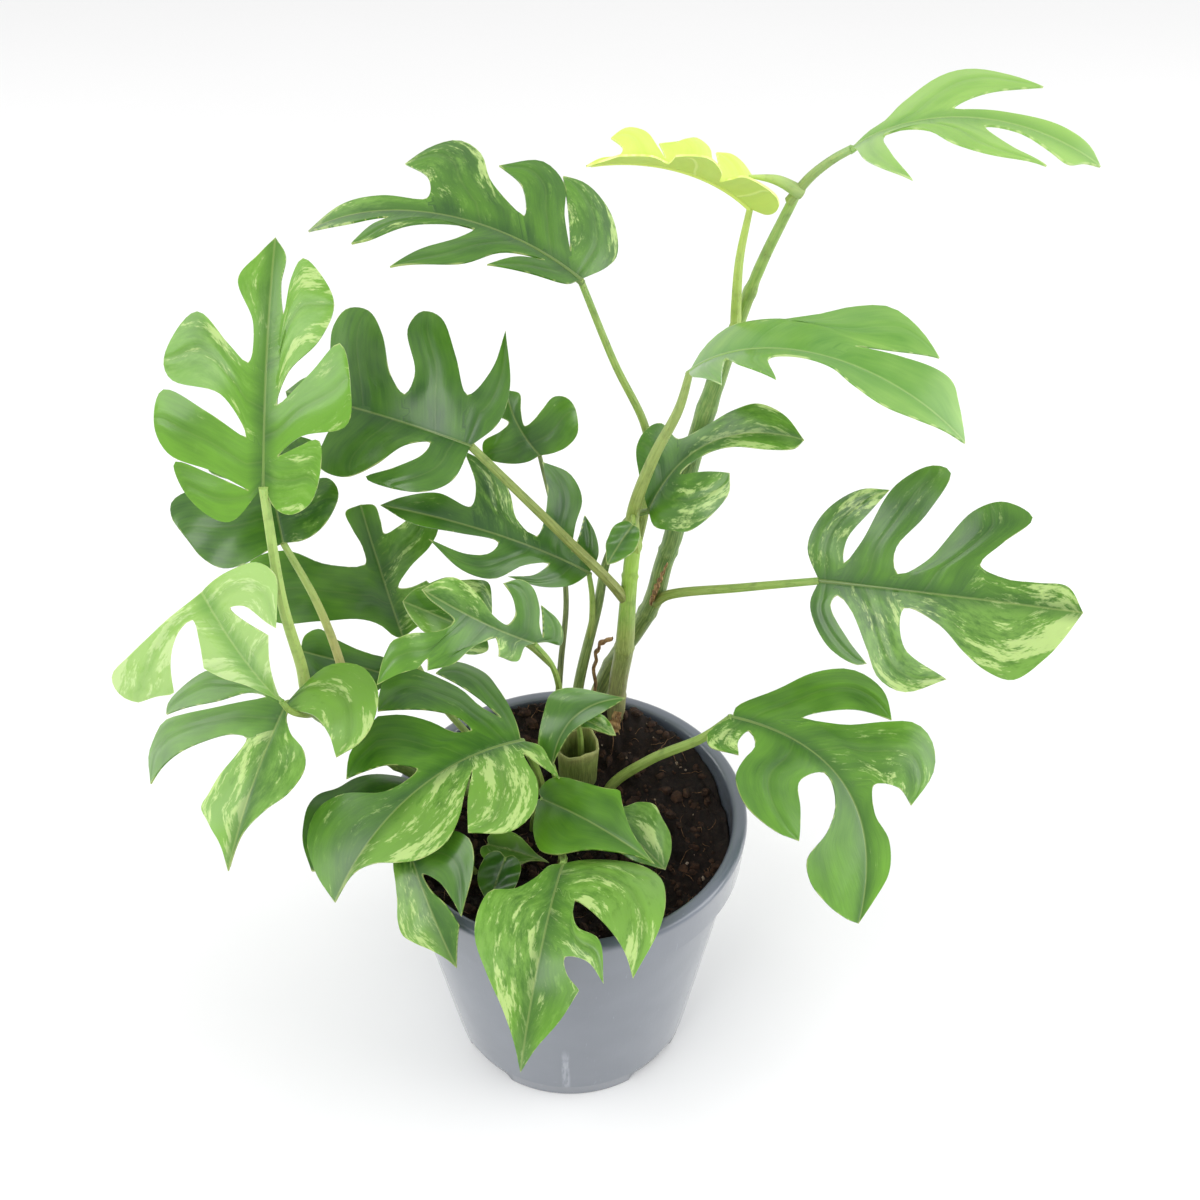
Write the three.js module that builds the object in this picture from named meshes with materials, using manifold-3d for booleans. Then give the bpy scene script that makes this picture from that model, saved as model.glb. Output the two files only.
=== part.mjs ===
// A young variegated mini monstera (Rhaphidophora tetrasperma) in a 12 cm nursery pot. Millimetres, +Z up.
// The origin is the centre of the pot's flat underside, and -Y is the plant's front.

import * as THREE from "three";
import { mergeVertices } from "three/addons/utils/BufferGeometryUtils.js";
import Module from "manifold-3d";

const wasm = await Module();
wasm.setup();

// Driving dimensions of the pot
const POT_HEIGHT = 102;
const RIM_RADIUS = 60;
const FOOT_RADIUS = 42;
const COLLAR_BOTTOM = 87; // lower edge of the collar that hangs from the rim
const WALL_RADIUS = 56.5; // outside of the wall at the collar's lower edge
const WALL = 1.6;
const FLOOR = 2;
const COLLAR_WALL = 1.3;
const RIM_THICKNESS = 2;
const RIM_WIDTH = 5;
const CORNER = 0.8;
const NECK_RADIUS = 57.1; // outside of the wall where it meets the rim
const COLLAR_RADIUS = 59; // outside of the collar at its lower edge
const DRAIN_HEIGHT = 3;
const DRAIN_WIDTH = 20;
const DRAIN_DEPTH = 7;
const DRAIN_ANGLES = [45, 135, 225, 315];
const POT_SEGMENTS = 48;

// Driving dimensions of the soil
const SOIL_FRONT_HEIGHT = 88;
const SOIL_HEAP_START = -15; // the soil rises behind this Y
const SOIL_HEAP_RATE = 0.005;
const SOIL_LUMP = 0.9;
const LUMPS_ACROSS = 0.31; // radians of the lumps' waves per millimetre
const LUMPS_BACK = 0.27;
const LUMPS_SKEW = 0.09;
const SOIL_EDGE_HEIGHT = 97;
const SOIL_EDGE_SLOPE = 1.4;
const SOIL_RINGS = [0.22, 0.42, 0.6, 0.76, 0.9, 1];
const SOIL_GAP = 0.45; // between the plug and the pot's wall
const PLUG_WALL_TOP = 84; // the plug leaves the wall here
const PLANTED_HEIGHT = 90; // a rod that starts lower than this stands in the soil

// Driving dimensions of the plant
const BLADE_THICKNESS = 0.7;
const BLADE_FOLD = 8; // degrees that each half rises from the midrib
const BLADE_CURL = 25; // degrees that a half curls down over one blade length
const MIDRIB_STEPS = 16;
const LONG_BLADE = 60; // blades longer than this get a point between the outline's points
const CLEARANCE = 0.35; // between pieces that touch
const STALK_END_GAP = 1;
const STALK_OVERLAP = 1; // a young leaf's stalk runs this far into its blade
const SAME_POINT = 1e-4;

// Leaf outlines are percent of the blade's length: along the midrib from its base, then sideways.
// A tip is a sharp corner of a lobe, a gap is the rounded bottom of the split between two lobes, and a vein
// is where a side vein of an unsplit half meets the outline.
const tip = (u, v) => [u, v, "tip"];
const gap = (u, v) => [u, v, "gap"];
const vein = (u, v) => [u, v, "vein"];

// base and tip are the two ends of the midrib, face is the way that the upper side looks, and droop is the
// angle that the midrib arches through. stalk is the leaf stalk's route from what carries it, with radius at
// its two ends. cutBy names the pieces that the stalk grows out of or squeezes past.
const LEAVES = {
  "01": {
    base: [-84, 0, 232], tip: [-81, 45, 286], face: [0, -0.78, 0.6], droop: 25,
    left: [[-15, 14], [-5, 30], [8, 35], [4, 21], gap(-2, 6), [5, 20], [11, 37], [23, 43], [36, 40],
      [28, 22], gap(19, 7), [35, 17], [40, 37], [48, 40], [67, 28], [55, 15], gap(48, 7), [64, 6],
      [81, 13], [92, 6]],
    right: [[-9, -5], [-11, -11], [-6, -19], [8, -23], [19, -22], [16, -14], gap(12, -6), [20, -15],
      [25, -33], [41, -34], [57, -29], [45, -18], gap(32, -5), [45, -9], [58, -21], [72, -26], [84, -20],
      [91, -12], [83, -8], gap(68, -6), [80, -4], [92, -5]],
    stalk: [[-80, -1, 146], [-82, 2, 154], [-82, 1, 164], [-83, -5, 195], [-84, -1, 232]],
    radius: [2.2, 1.3], cutBy: ["stem_side"],
  },
  "02": {
    base: [-28, 30, 226], tip: [-87, 55, 230], face: [-0.1, -0.6, 0.78], droop: 30,
    left: [[2, 19], [15, 30], [40, 31], [28, 22], [19, 12], gap(18, 5), [28, 10], [38, 24], [50, 34],
      [64, 32], [66, 18], gap(66, 8), [80, 12], [92, 8]],
    right: [[-8, -15], [-7, -32], tip(5, -58), [4, -38], gap(10, -22), [22, -38], [36, -54], [46, -54],
      [49, -44], [37, -24], gap(38, -13), [48, -20], [60, -38], [72, -48], [84, -46], [87, -36], [82, -20],
      gap(82, -10), [90, -9]],
    stalk: [[19, 42, 158], [13, 35, 172], [-3, 32, 194], [-28, 30, 226]], radius: [1.9, 1.2],
    cutBy: ["stem_main"],
  },
  "03": {
    base: [-85, 15, 201], tip: [-95, 50, 219], face: [0, -0.6, 0.8], droop: 20,
    left: [[-3, 12], [-9, 32], [-8, 48], [6, 62], [25, 70], [42, 78], [55, 76], [60, 60], [50, 30],
      gap(48, 12), [60, 30], [75, 45], [88, 30], [95, 12]],
    right: [[-2, -14], [2, -27], [12, -39], [28, -48], [42, -42], [42, -20], gap(44, -8), [58, -30],
      [74, -38], [90, -18]],
    stalk: [[-68, 4, 130], [-72, 10, 159], [-77, 12, 181], [-85, 15, 201]], radius: [1.6, 1],
    cutBy: ["stem_side"],
  },
  "04": {
    base: [5, 45, 273], tip: [-75, 62, 280], face: [-0.15, -0.25, 1], droop: 80,
    left: [[4, 6], [18, 13], tip(30, 17), [22, 8], gap(14, 3), [27, 9], [38, 21], tip(57, 29), [50, 19],
      [41, 9], gap(38, 3), [56, 7], [68, 16], tip(74, 17), [70, 8], gap(66, 4), [80, 5], [92, 3]],
    right: [[-7, -12], [-9, -21], [-2, -33], [9, -37], tip(18, -34), [12, -20], gap(7, -7), [13, -18],
      [17, -31], [26, -36], tip(38, -27), [29, -22], gap(25, -10), [38, -18], [45, -30], [53, -34],
      [62, -29], tip(68, -22), [58, -15], gap(56, -6), [72, -7], [88, -6]],
    stalk: [[22, 42, 178], [25, 46, 191], [27, 53, 204], [25, 55, 217], [15, 50, 243], [5, 45, 273]],
    radius: [1.7, 1], cutBy: ["stem_main", "stalk_07"],
  },
  "05": {
    base: [52, 40, 297], tip: [7, 35, 311], face: [-0.2, -0.3, 1], droop: 60, fold: [58, 8], curl: [6, 25],
    left: [[-6, 8], [-2, 20], [10, 27], [24, 26], [26, 14], gap(27, 5), [33, 18], [44, 26], tip(56, 18),
      [56, 9], gap(57, 5), [68, 14], tip(82, 12), [90, 5]],
    right: [[-9, -6], [-8, -16], [2, -28], [14, -31], tip(25, -26), [24, -14], gap(26, -5), [29, -15],
      [30, -26], [38, -29], [47, -22], tip(60, -17), [58, -11], gap(57, -6), [61, -14], [67, -25],
      [76, -27], tip(86, -18), [80, -10], gap(82, -5), [92, -4]],
    stalk: [[51, 48, 255], [50, 42, 267], [50, 40, 282], [52, 40, 297]], radius: [1.8, 0.9],
    cutBy: ["stem_climbing"],
  },
  "06": {
    base: [77, 32, 317], tip: [134, 5, 323], face: [0.1, -0.35, 1], droop: 80,
    left: [[8, 4], [15, 6], [20, 14], [30, 23], [42, 27], [56, 26], tip(70, 23), [54, 15], gap(42, 5),
      [60, 5], [80, 7], [93, 5]],
    right: [[5, -5], [14, -18], [25, -29], tip(40, -40), [27, -22], gap(18, -4), [36, -8], [48, -17],
      [64, -21], tip(81, -18), [68, -15], gap(56, -5), [68, -4], [80, -8], [88, -10], [94, -4]],
    stalk: [[63, 42, 298], [68, 40, 306], [73, 37, 312], [77, 32, 317]], radius: [1.5, 1.1],
    cutBy: ["stem_climbing"],
  },
  "07": {
    base: [37, 34, 249], tip: [109, -8, 251], face: [0.3, -0.4, 0.9], droop: 95,
    left: [[2, 9], [10, 15], [20, 14], [28, 12], [42, 15], [51, 22], [60, 26], [70, 23], tip(80, 17),
      [68, 11], gap(58, 7), [70, 10], [86, 13], [92, 8]],
    right: [[8, -8], [18, -14], tip(28, -20), [22, -9], gap(20, -4), [28, -9], tip(43, -15), [36, -5],
      gap(42, -3), [55, -4], [63, -8], [73, -10], [83, -7], [92, -3]],
    stalk: [[22, 41, 180], [21, 34, 198], [27, 29, 223], [34, 30, 239], [37, 34, 249]], radius: [2.4, 1.1],
    cutBy: ["stem_main"],
  },
  "08": {
    base: [26, 35, 199], tip: [73, 38, 223], face: [-0.1, -0.6, 0.75], droop: 30, bend: 0.2,
    left: [[3, 18], [8, 31], [18, 32], [28, 27], gap(34, 12), [50, 10], [70, 15], [85, 19], [95, 14]],
    right: [[0, -10], [9, -24], [20, -36], [35, -39], [49, -33], tip(54, -22), [44, -16], gap(27, -5),
      [42, -5], [60, -7], [78, -11], [92, -9]],
    stalk: [[0, 39, 84], [3, 42, 118], [10, 44, 154], [13, 45, 172], [20, 42, 191], [26, 35, 199]],
    radius: [2.1, 0.9],
  },
  "09": {
    base: [81, 30, 175], tip: [160, 10, 178], face: [0.1, -0.75, 0.65], droop: 20,
    left: [[-6, 13], [-1, 27], [12, 37], tip(23, 38), [17, 29], [9, 17], gap(9, 8), [15, 17], [25, 40],
      [38, 49], [45, 47], [38, 30], [28, 15], gap(30, 6), [40, 12], [55, 33], [66, 38], [77, 33],
      [67, 22], gap(60, 13), [70, 9], [82, 9], [93, 9]],
    right: [[-2, -10], [7, -25], [19, -31], tip(23, -30), [15, -22], [6, -9], gap(8, -5), [14, -10],
      [22, -24], [28, -35], [38, -39], tip(53, -32), [36, -22], gap(34, -7), [48, -12], [58, -21],
      [67, -27], [77, -29], [88, -19], [93, -12]],
    stalk: [[29, 52, 148], [34, 47, 156], [57, 38, 166], [81, 30, 175]], radius: [1.9, 1.2],
    cutBy: ["stem_climbing"],
  },
  "10": {
    base: [54, 10, 134], tip: [93, -40, 91], face: [0.2, -0.5, 0.85], droop: 35, bend: 0.24,
    left: [[-3, 8], [0, 24], [2, 41], [8, 50], [22, 47], tip(36, 36), [24, 29], gap(16, 12), [27, 19],
      [35, 33], [42, 43], [52, 45], [63, 40], tip(70, 25), [61, 21], gap(55, 11), [65, 7], [78, 12],
      [89, 12], [95, 6]],
    right: [[0, -8], [2, -17], [8, -24], tip(16, -22), [11, -15], gap(9, -6), [16, -13], [19, -24],
      [24, -34], [36, -41], [50, -38], tip(58, -31), [48, -24], [38, -16], gap(40, -4), [53, -8],
      [61, -17], [66, -30], [74, -30], [86, -21], [95, -9]],
    stalk: [[12, 16, 80], [14, 17, 94], [28, 14, 111], [45, 11, 124], [54, 10, 134]], radius: [2, 1.4],
  },
  "11": {
    base: [-9, 62, 202], tip: [-20, 75, 219], face: [0, -0.6, 0.8], droop: 20, bend: 0.08,
    left: [[0, 20], [10, 42], [30, 60], [50, 52], [52, 25], gap(58, 10), [75, 20], [92, 10]],
    right: [[-4, -12], [-6, -35], [3, -60], [20, -74], [38, -80], [55, -76], [62, -60], [54, -40],
      [46, -22], gap(44, -8), [65, -12], [85, -18]],
    stalk: [[-5, 44, 90], [-4, 44, 114], [-3, 48, 126], [-1, 54, 148], [-3, 58, 171], [-9, 62, 202]],
    radius: [1.3, 0.7],
  },
  "12": {
    base: [7, 42, 169], tip: [-58, 35, 201], face: [-0.1, -0.6, 0.8], droop: 60,
    left: [[3, 3], [12, 10], [26, 15], tip(42, 16), [30, 11], gap(24, 4), [36, 9], [48, 19], [61, 19],
      tip(77, 10), [61, 12], [52, 9], gap(49, 3), [66, 4], [85, 5]],
    right: [[-2, -9], [4, -17], tip(12, -22), [12, -12], gap(14, -5), [16, -16], [16, -28], [25, -36],
      tip(39, -36), [33, -22], gap(33, -5), [44, -9], [50, -19], [60, -27], tip(72, -30), [64, -17],
      gap(64, -8), [78, -10], [92, -5]],
    stalk: [[7, 43, 140], [8, 42, 150], [8, 42, 160], [7, 42, 169]], radius: [1.2, 0.8],
    cutBy: ["stalk_08"],
  },
  "13": {
    base: [-57, 45, 139], tip: [-69, 60, 184], face: [0, -0.7, 0.7], droop: 25,
    left: [[3, 5], [15, 12], [25, 26], [30, 50], [36, 78], [56, 94], [82, 84], [84, 58], [68, 34],
      gap(60, 9), [72, 7], [86, 10], [98, 11]],
    right: [[4, -8], [12, -24], [28, -33], tip(38, -28), [36, -15], gap(38, -8), [50, -20], [61, -38],
      [72, -46], tip(84, -32), [79, -20], gap(77, -10), [86, -10], [97, -9]],
    stalk: [[-24, 24, 80], [-29, 28, 98], [-46, 37, 118], [-57, 45, 139]], radius: [1.5, 0.9],
  },
  "14": {
    base: [-10, 12, 164], tip: [-43, 5, 191], face: [-0.2, -0.5, 0.8], droop: 40, bend: 0.05,
    left: [[10, 5], [12, 16], tip(31, 18), [33, 12], gap(38, 6), [50, 16], [57, 26], [63, 36],
      tip(78, 48), gap(81, 41), tip(85, 50), [96, 60], tip(107, 74), [109, 58], tip(108, 43), [97, 31],
      [84, 23], [75, 15], gap(72, 8), [82, 5], [93, 3]],
    right: [[-12, -3], [-34, -3], [-28, -12], [-12, -22], tip(7, -28), [-1, -16], gap(-6, -6), [3, -14],
      [9, -26], [22, -38], [36, -39], tip(46, -32), [35, -25], [28, -14], gap(31, -6), [46, -8],
      [56, -13], [68, -18], [82, -19], [91, -12]],
    stalk: [[-4, 32, 84], [-3, 30, 110], [-3, 26, 132], [-5, 20, 148], [-10, 12, 164]], radius: [1.3, 0.8],
  },
  "15": {
    base: [-15, 2, 131], tip: [-70, -50, 113], face: [-0.25, -0.45, 0.85], droop: 50, bend: -0.08,
    left: [[-4, 5], [-1, 15], tip(3, 26), [4, 15], gap(5, 8), [12, 25], [23, 37], [36, 39], tip(47, 29),
      [38, 18], gap(27, 7), [36, 14], [46, 22], [56, 26], [66, 23], [73, 16], [79, 8], [87, 2]],
    right: [[-5, -10], [-9, -20], [-12, -32], [-14, -44], [-9, -52], tip(4, -47), [1, -38], [-1, -27],
      gap(-1, -14), [2, -22], [2, -34], tip(6, -46), [11, -55], [22, -53], [30, -46], tip(36, -39),
      [29, -34], [20, -27], [14, -19], gap(14, -11), [20, -13], [24, -22], [30, -31], tip(38, -37),
      [47, -34], [56, -31], tip(64, -24), [56, -20], [49, -16], gap(42, -7), [49, -6], [58, -9],
      [69, -21], [80, -26], [90, -23], [97, -12]],
    stalk: [[-6, 12, 80], [-8, 11, 94], [-11, 7, 115], [-15, 2, 131]], radius: [1.6, 1.1],
  },
  "16": {
    base: [-49, -3, 109], tip: [-80, -34, 109], face: [-0.3, -0.4, 0.85], droop: 40,
    left: [[-5, 8], [-6, 20], [6, 32], [28, 36], [44, 32], [42, 18], gap(42, 8), [56, 20], [72, 24],
      [90, 12]],
    right: [[-5, -8], [-8, -20], [8, -34], [28, -41], [44, -42], [57, -46], [70, -42], [82, -32],
      [91, -20]],
    stalk: [[-44, 8, 107], [-46, 3, 108], [-49, -3, 109]], radius: [1.2, 0.9],
    cutBy: ["stem_side"],
  },
  "17": {
    base: [-86, -7, 156], tip: [-101, -48, 125], face: [-0.2, -0.6, 0.75], droop: 30, fold: [8, -10],
    left: [[-14, 5], [-29, 14], [-33, 33], [-20, 49], [0, 54], [13, 51], tip(24, 42), [12, 32], [4, 18],
      gap(6, 3), [17, 10], [25, 22], [36, 27], [50, 23], [63, 12], [78, 3]],
    right: [[-10, -32], [-16, -55], [-20, -76], [-10, -90], [4, -97], tip(16, -93), [10, -75], [4, -50],
      [-3, -30], gap(-1, -15), [4, -30], [10, -52], [15, -74], [21, -92], [28, -96], [42, -95],
      tip(67, -82), [56, -77], [44, -66], [33, -48], [25, -28], gap(26, -16), [37, -18], [50, -24],
      [62, -28], [71, -31], [78, -22], [87, -10]],
    stalk: [[-82, -1, 147], [-84, -3, 151], [-86, -7, 156]], radius: [1.3, 1],
    cutBy: ["stem_side", "stalk_01"],
  },
  "18": {
    base: [-86, -13, 162], tip: [-103, -14, 205], face: [-0.1, -0.75, 0.6], droop: 40, curl: [20, 25],
    left: [[12, 3], [26, 8], [40, 16], tip(55, 24), [72, 17], gap(87, 13), [85, 22], [78, 31], [68, 39],
      [57, 45], tip(46, 50), [50, 60], tip(51, 72), [57, 78], [65, 80], [75, 76], [82, 60], [88, 43],
      [94, 25], [98, 8]],
    right: [[12, -3], [30, -9], [44, -15], tip(57, -22), [70, -16], gap(84, -11), [82, -20], [66, -26],
      tip(60, -29), [75, -38], [92, -46], [103, -40], [105, -20], [103, -8]],
    stalk: [[-80, -2, 147], [-81, -8, 152], [-84, -12, 157], [-86, -13, 162]], radius: [1.2, 0.9],
    cutBy: ["stem_side", "stalk_01", "stalk_17", "blade_17"],
  },
  "19": {
    base: [-1, -32, 110], tip: [-13, -87, 80], face: [0, -0.45, 0.9], droop: 110,
    left: [[-8, 10], [-12, 25], [-3, 40], [14, 45], [30, 45], tip(52, 38), [43, 33], [34, 24], gap(24, 9),
      [36, 12], [40, 22], tip(56, 27), [49, 19], gap(49, 10), [55, 12], tip(60, 18), [72, 13], [86, 5]],
    right: [[5, -5], [16, -9], [25, -16], [28, -25], vein(37, -28), [48, -27], vein(61, -19), [72, -11],
      [86, -4]],
    stalk: [[-1, -10, 80], [-2, -14, 92], [-1, -23, 103], [-1, -32, 110]], radius: [1.5, 1.1],
  },
  "20": {
    base: [-49, -32, 118], tip: [-33, -62, 97], face: [-0.3, -0.5, 0.8], droop: 25,
    left: [[0, 20], [4, 38], [16, 49], [28, 48], [42, 41], [56, 30], tip(67, 21), [52, 19], [36, 15],
      gap(25, 4), [39, 6], [52, 12], tip(72, 17), [81, 11], [91, 5]],
    right: [[-4, -8], [6, -15], [22, -18], [36, -22], [48, -27], [60, -28], [70, -21], [80, -12],
      [91, -4]],
    stalk: [[-30, -14, 78], [-32, -16, 90], [-41, -24, 106], [-49, -32, 118]], radius: [1.4, 1],
  },
  "21": {
    base: [-8, -5, 111], tip: [28, -32, 110], face: [0.1, -0.4, 0.9], droop: 40,
    left: [[-8, 5], [-5, 18], [5, 22], [20, 23], [35, 26], tip(49, 31), [60, 20], [75, 9], [90, 3]],
    right: [[-5, -2], [2, -10], [12, -24], [22, -33], [30, -37], [40, -34], [50, -25], [65, -14],
      [85, -4]],
    stalk: [[-12, 4, 78], [-12, 2, 92], [-10, -2, 103], [-8, -5, 111]], radius: [1.4, 1.1],
  },
};

// The youngest leaves: blade and stalk are one soft piece
const YOUNG_LEAVES = {
  "22": {
    base: [11, -5, 106], tip: [32, -22, 96], face: [0.2, -0.4, 0.9], droop: 20,
    left: [[6, 8], [18, 22], [25, 38], [40, 47], [55, 42], [75, 35], [90, 20]],
    right: [[8, -8], [25, -22], [55, -24], [82, -12]],
    stalk: [[5, 4, 80], [8, 0, 96], [11, -5, 106]], radius: [1.1, 0.8],
  },
  "23": {
    base: [-5, 3, 119], tip: [19, 15, 138], face: [-0.1, -0.6, 0.75], droop: 20, bend: 0.2,
    left: [[-3, 10], [0, 20], [15, 24], [30, 28], [48, 33], [62, 29], [75, 20], [88, 8]],
    right: [[5, -2], [20, -6], [35, -8], [50, -11], [70, -12], [86, -8]],
    stalk: [[-2, 7, 80], [-2, 6, 98], [-4, 4, 112], [-5, 3, 119]], radius: [1.2, 0.9],
  },
  "24": {
    base: [3, 18, 127], tip: [16, 13, 123], face: [0, -0.4, 0.9], droop: 20,
    left: [[10, 8], [30, 18], [52, 28], [72, 22], [88, 10]],
    right: [[10, -16], [22, -20], [45, -13], [70, -10], [88, -6]],
    stalk: [[4, 21, 99], [4, 21, 114], [3, 18, 127]], radius: [1.2, 0.8],
  },
  "25": {
    base: [-26, -12, 97], tip: [-6, -18, 95], face: [0, -0.4, 0.9], droop: 30,
    left: [[-6, 10], [4, 22], [20, 28], [42, 25], [60, 16], [78, 6], [90, 3]],
    right: [[-10, -6], [-8, -16], [6, -27], [24, -31], [42, -28], [58, -19], [72, -8], [88, -2]],
    stalk: [[-25, -7, 78], [-26, -9, 90], [-26, -12, 97]], radius: [1.1, 0.8],
  },
  "26": {
    base: [-20, -22, 102], tip: [-25, -34, 93], face: [0, -0.5, 0.9], droop: 20,
    left: [[-8, 14], [5, 36], [30, 41], [62, 37], [84, 22]],
    right: [[-8, -16], [5, -36], [30, -42], [60, -38], [82, -20]],
    stalk: [[-21, -27, 78], [-21, -27, 91], [-20, -25, 99], [-20, -22, 102]], radius: [0.9, 0.7],
  },
  "27": {
    base: [21, 26, 200], tip: [13, 20, 189], face: [-0.2, -0.5, 0.8], droop: 20,
    left: [[0, 15], [20, 32], [50, 34], [80, 18]],
    right: [[0, -15], [20, -30], [50, -30], [80, -16]],
    stalk: [[21, 34, 197], [21, 30, 200], [21, 26, 200]], radius: [0.9, 0.7],
    cutBy: ["stalk_07"],
  },
  "28": {
    base: [-26, 22, 158], tip: [-52, 22, 173], face: [-0.1, -0.6, 0.75], droop: 20,
    left: [[-6, 12], [10, 24], [30, 26], [50, 22], [66, 22], [80, 16], [92, 8]],
    right: [[4, -20], [11, -38], [22, -55], tip(42, -50), [52, -45], [66, -42], tip(86, -24), [95, -14]],
    stalk: [[-5, 20, 148], [-13, 20, 157], [-20, 21, 160], [-26, 22, 158]], radius: [1, 0.7],
    cutBy: ["stalk_14"],
  },
  "29": {
    base: [-61, 30, 135], tip: [-88, 26, 149], face: [-0.1, -0.6, 0.75], droop: 15,
    left: [[4, 16], [24, 28], [56, 35], [86, 28]],
    right: [[6, -16], [25, -17], [45, -18], [70, -23], [87, -28], [100, -17]],
    stalk: [[-46, 37, 118], [-52, 36, 126], [-57, 33, 132], [-61, 30, 135]], radius: [1, 0.8],
    cutBy: ["stalk_13"],
  },
};

// The stems and the small pieces on them: a rod along a curve, with one radius for each point
const RODS = {
  stem_main: {
    route: [[14, 43, 80], [16, 43, 100], [17, 43, 120], [19, 42, 137], [20, 42, 158], [21, 41, 175],
      [22, 41, 184]],
    radii: [3.3, 3.2, 3.2, 3.3, 2.7, 2.5, 2.4], sides: 10,
  },
  stem_climbing: {
    route: [[4, 44, 80], [8, 48, 102], [15, 53, 120], [23, 54, 134], [29, 53, 149], [32, 53, 164],
      [35, 53, 176], [39, 54, 201], [46, 51, 235], [52, 47, 260], [57, 44, 279], [65, 42, 301]],
    radii: [3, 3, 3, 3.1, 3.3, 3.1, 3.2, 3.2, 3, 2, 1.6, 1.4], sides: 8,
  },
  stem_side: {
    route: [[-16, 16, 80], [-22, 14, 92], [-45, 8, 108], [-66, 4, 128], [-78, 0, 145], [-82, -2, 151]],
    radii: [3.2, 3.2, 3, 2.8, 2.6, 2], sides: 8,
  },
  new_leaf: {
    route: [[66, 41, 301], [59, 40, 305], [51, 38, 307]],
    radii: [2, 1.4, 0.4], cutBy: ["stem_climbing", "stalk_06"],
  },
  sheath_main: {
    route: [[9, 43, 90], [9, 43, 112], [9, 43, 130], [11, 43, 138], [15, 42, 141]],
    radii: [1.3, 1.3, 1.3, 1.2, 0.8], flatness: 0.45, cutBy: ["stem_main", "stalk_08"],
  },
  sheath_climbing: {
    route: [[28, 49, 151], [30, 47, 160], [33, 46, 170]],
    radii: [1.4, 1.4, 0.6], flatness: 0.4, cutBy: ["stem_climbing", "stalk_09"],
  },
  sheath_base: {
    route: [[12, 34, 90], [15, 37, 101], [17, 40, 109]],
    radii: [2.2, 2.2, 1.2], flatness: 0.4, cutBy: ["stem_main"],
  },
};

// The cut-back stump is a thick cup of old leaf sheaths: profile radius and height from its foot
const STUMP_FOOT = [3, 23, 82];
const STUMP_LEAN = THREE.MathUtils.degToRad(6);
const STUMP_PROFILE = [[0, 0], [5.6, 0], [6.6, 15], [7.4, 32], [6.3, 32.5], [5.6, 17], [4, 16.5], [0, 16.5]];
const STUMP_OUTSIDE = 4; // points of the profile up to its outer lip
const STUMP_SEGMENTS = 16;

const material = (color, roughness, metalness = 0) =>
  new THREE.MeshStandardMaterial({ color, roughness, metalness });
const MATERIALS = {
  pot: material(0x575d68, 0.5),
  soil: material(0x2d1c14, 0.95),
  stem: material(0x5f7a3a, 0.5),
  stump: material(0x5c6b35, 0.6),
  stalk: material(0x87a04a, 0.45),
  blade: material(0x4f8f35, 0.4),
  paleBlade: material(0x9cc96a, 0.4),
  youngBlade: material(0xc6e65a, 0.4),
  sheath: material(0x9a7a50, 0.8),
};
const BLADE_MATERIALS = { "05": "youngBlade", "06": "paleBlade", "07": "paleBlade" };

const vector = ([x, y, z]) => new THREE.Vector3(x, y, z);

// Merge equal points and drop the flat triangles that a profile point on the axis leaves
function weld(geometry) {
  geometry.deleteAttribute("normal");
  geometry.deleteAttribute("uv");
  const welded = mergeVertices(geometry, SAME_POINT);
  const corners = [];
  for (let i = 0; i < welded.index.count; i += 3) {
    const [a, b, c] = welded.index.array.slice(i, i + 3);
    if (a !== b && b !== c && c !== a) corners.push(a, b, c);
  }
  welded.setIndex(corners);
  return welded;
}

function solidOf(geometry) {
  const welded = weld(geometry);
  return new wasm.Manifold(new wasm.Mesh({
    numProp: 3,
    vertProperties: welded.attributes.position.array,
    triVerts: Uint32Array.from(welded.index.array),
  }));
}

function geometryOf(solid) {
  const { vertProperties, triVerts } = solid.getMesh();
  return indexedGeometry(vertProperties, triVerts);
}

function indexedGeometry(positions, corners) {
  const geometry = new THREE.BufferGeometry();
  geometry.setAttribute("position", new THREE.Float32BufferAttribute(positions, 3));
  geometry.setIndex([...corners]);
  geometry.computeVertexNormals();
  return geometry;
}

// A rod along a smooth curve. Its section is an ellipse: radius one way, radius times flatness the other.
function rod({ route, radii, sides = 6, flatness = 1, grow = 0, stepsPerSpan = 2 }) {
  const curve = new THREE.CatmullRomCurve3(route.map(vector), false, "centripetal");
  const chord = vector(route.at(-1)).sub(vector(route[0]));
  const lengths = [Math.abs(chord.x), Math.abs(chord.y), Math.abs(chord.z)];
  const across = new THREE.Vector3().setComponent(lengths.indexOf(Math.min(...lengths)), 1);
  const steps = (route.length - 1) * stepsPerSpan;
  const positions = [];
  const corners = [];
  for (let i = 0; i <= steps; i++) {
    const place = i / stepsPerSpan;
    const span = Math.min(Math.floor(place), radii.length - 2);
    const radius = THREE.MathUtils.lerp(radii[span], radii[span + 1], place - span);
    const centre = curve.getPoint(i / steps);
    const forward = curve.getTangent(i / steps);
    const second = new THREE.Vector3().crossVectors(forward, across).normalize();
    const first = new THREE.Vector3().crossVectors(second, forward);
    for (let j = 0; j < sides; j++) {
      const angle = (2 * Math.PI * j) / sides;
      const point = centre.clone()
        .addScaledVector(first, (radius + grow) * Math.cos(angle))
        .addScaledVector(second, (radius * flatness + grow) * Math.sin(angle));
      positions.push(...point);
      const next = (j + 1) % sides;
      const here = i * sides;
      if (i < steps) {
        corners.push(here + j, here + next, here + sides + next);
        corners.push(here + j, here + sides + next, here + sides + j);
      }
    }
  }
  const last = steps * sides;
  for (let j = 1; j < sides - 1; j++) {
    corners.push(0, j + 1, j);
    corners.push(last, last + j, last + j + 1);
  }
  return indexedGeometry(positions, corners);
}

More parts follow.
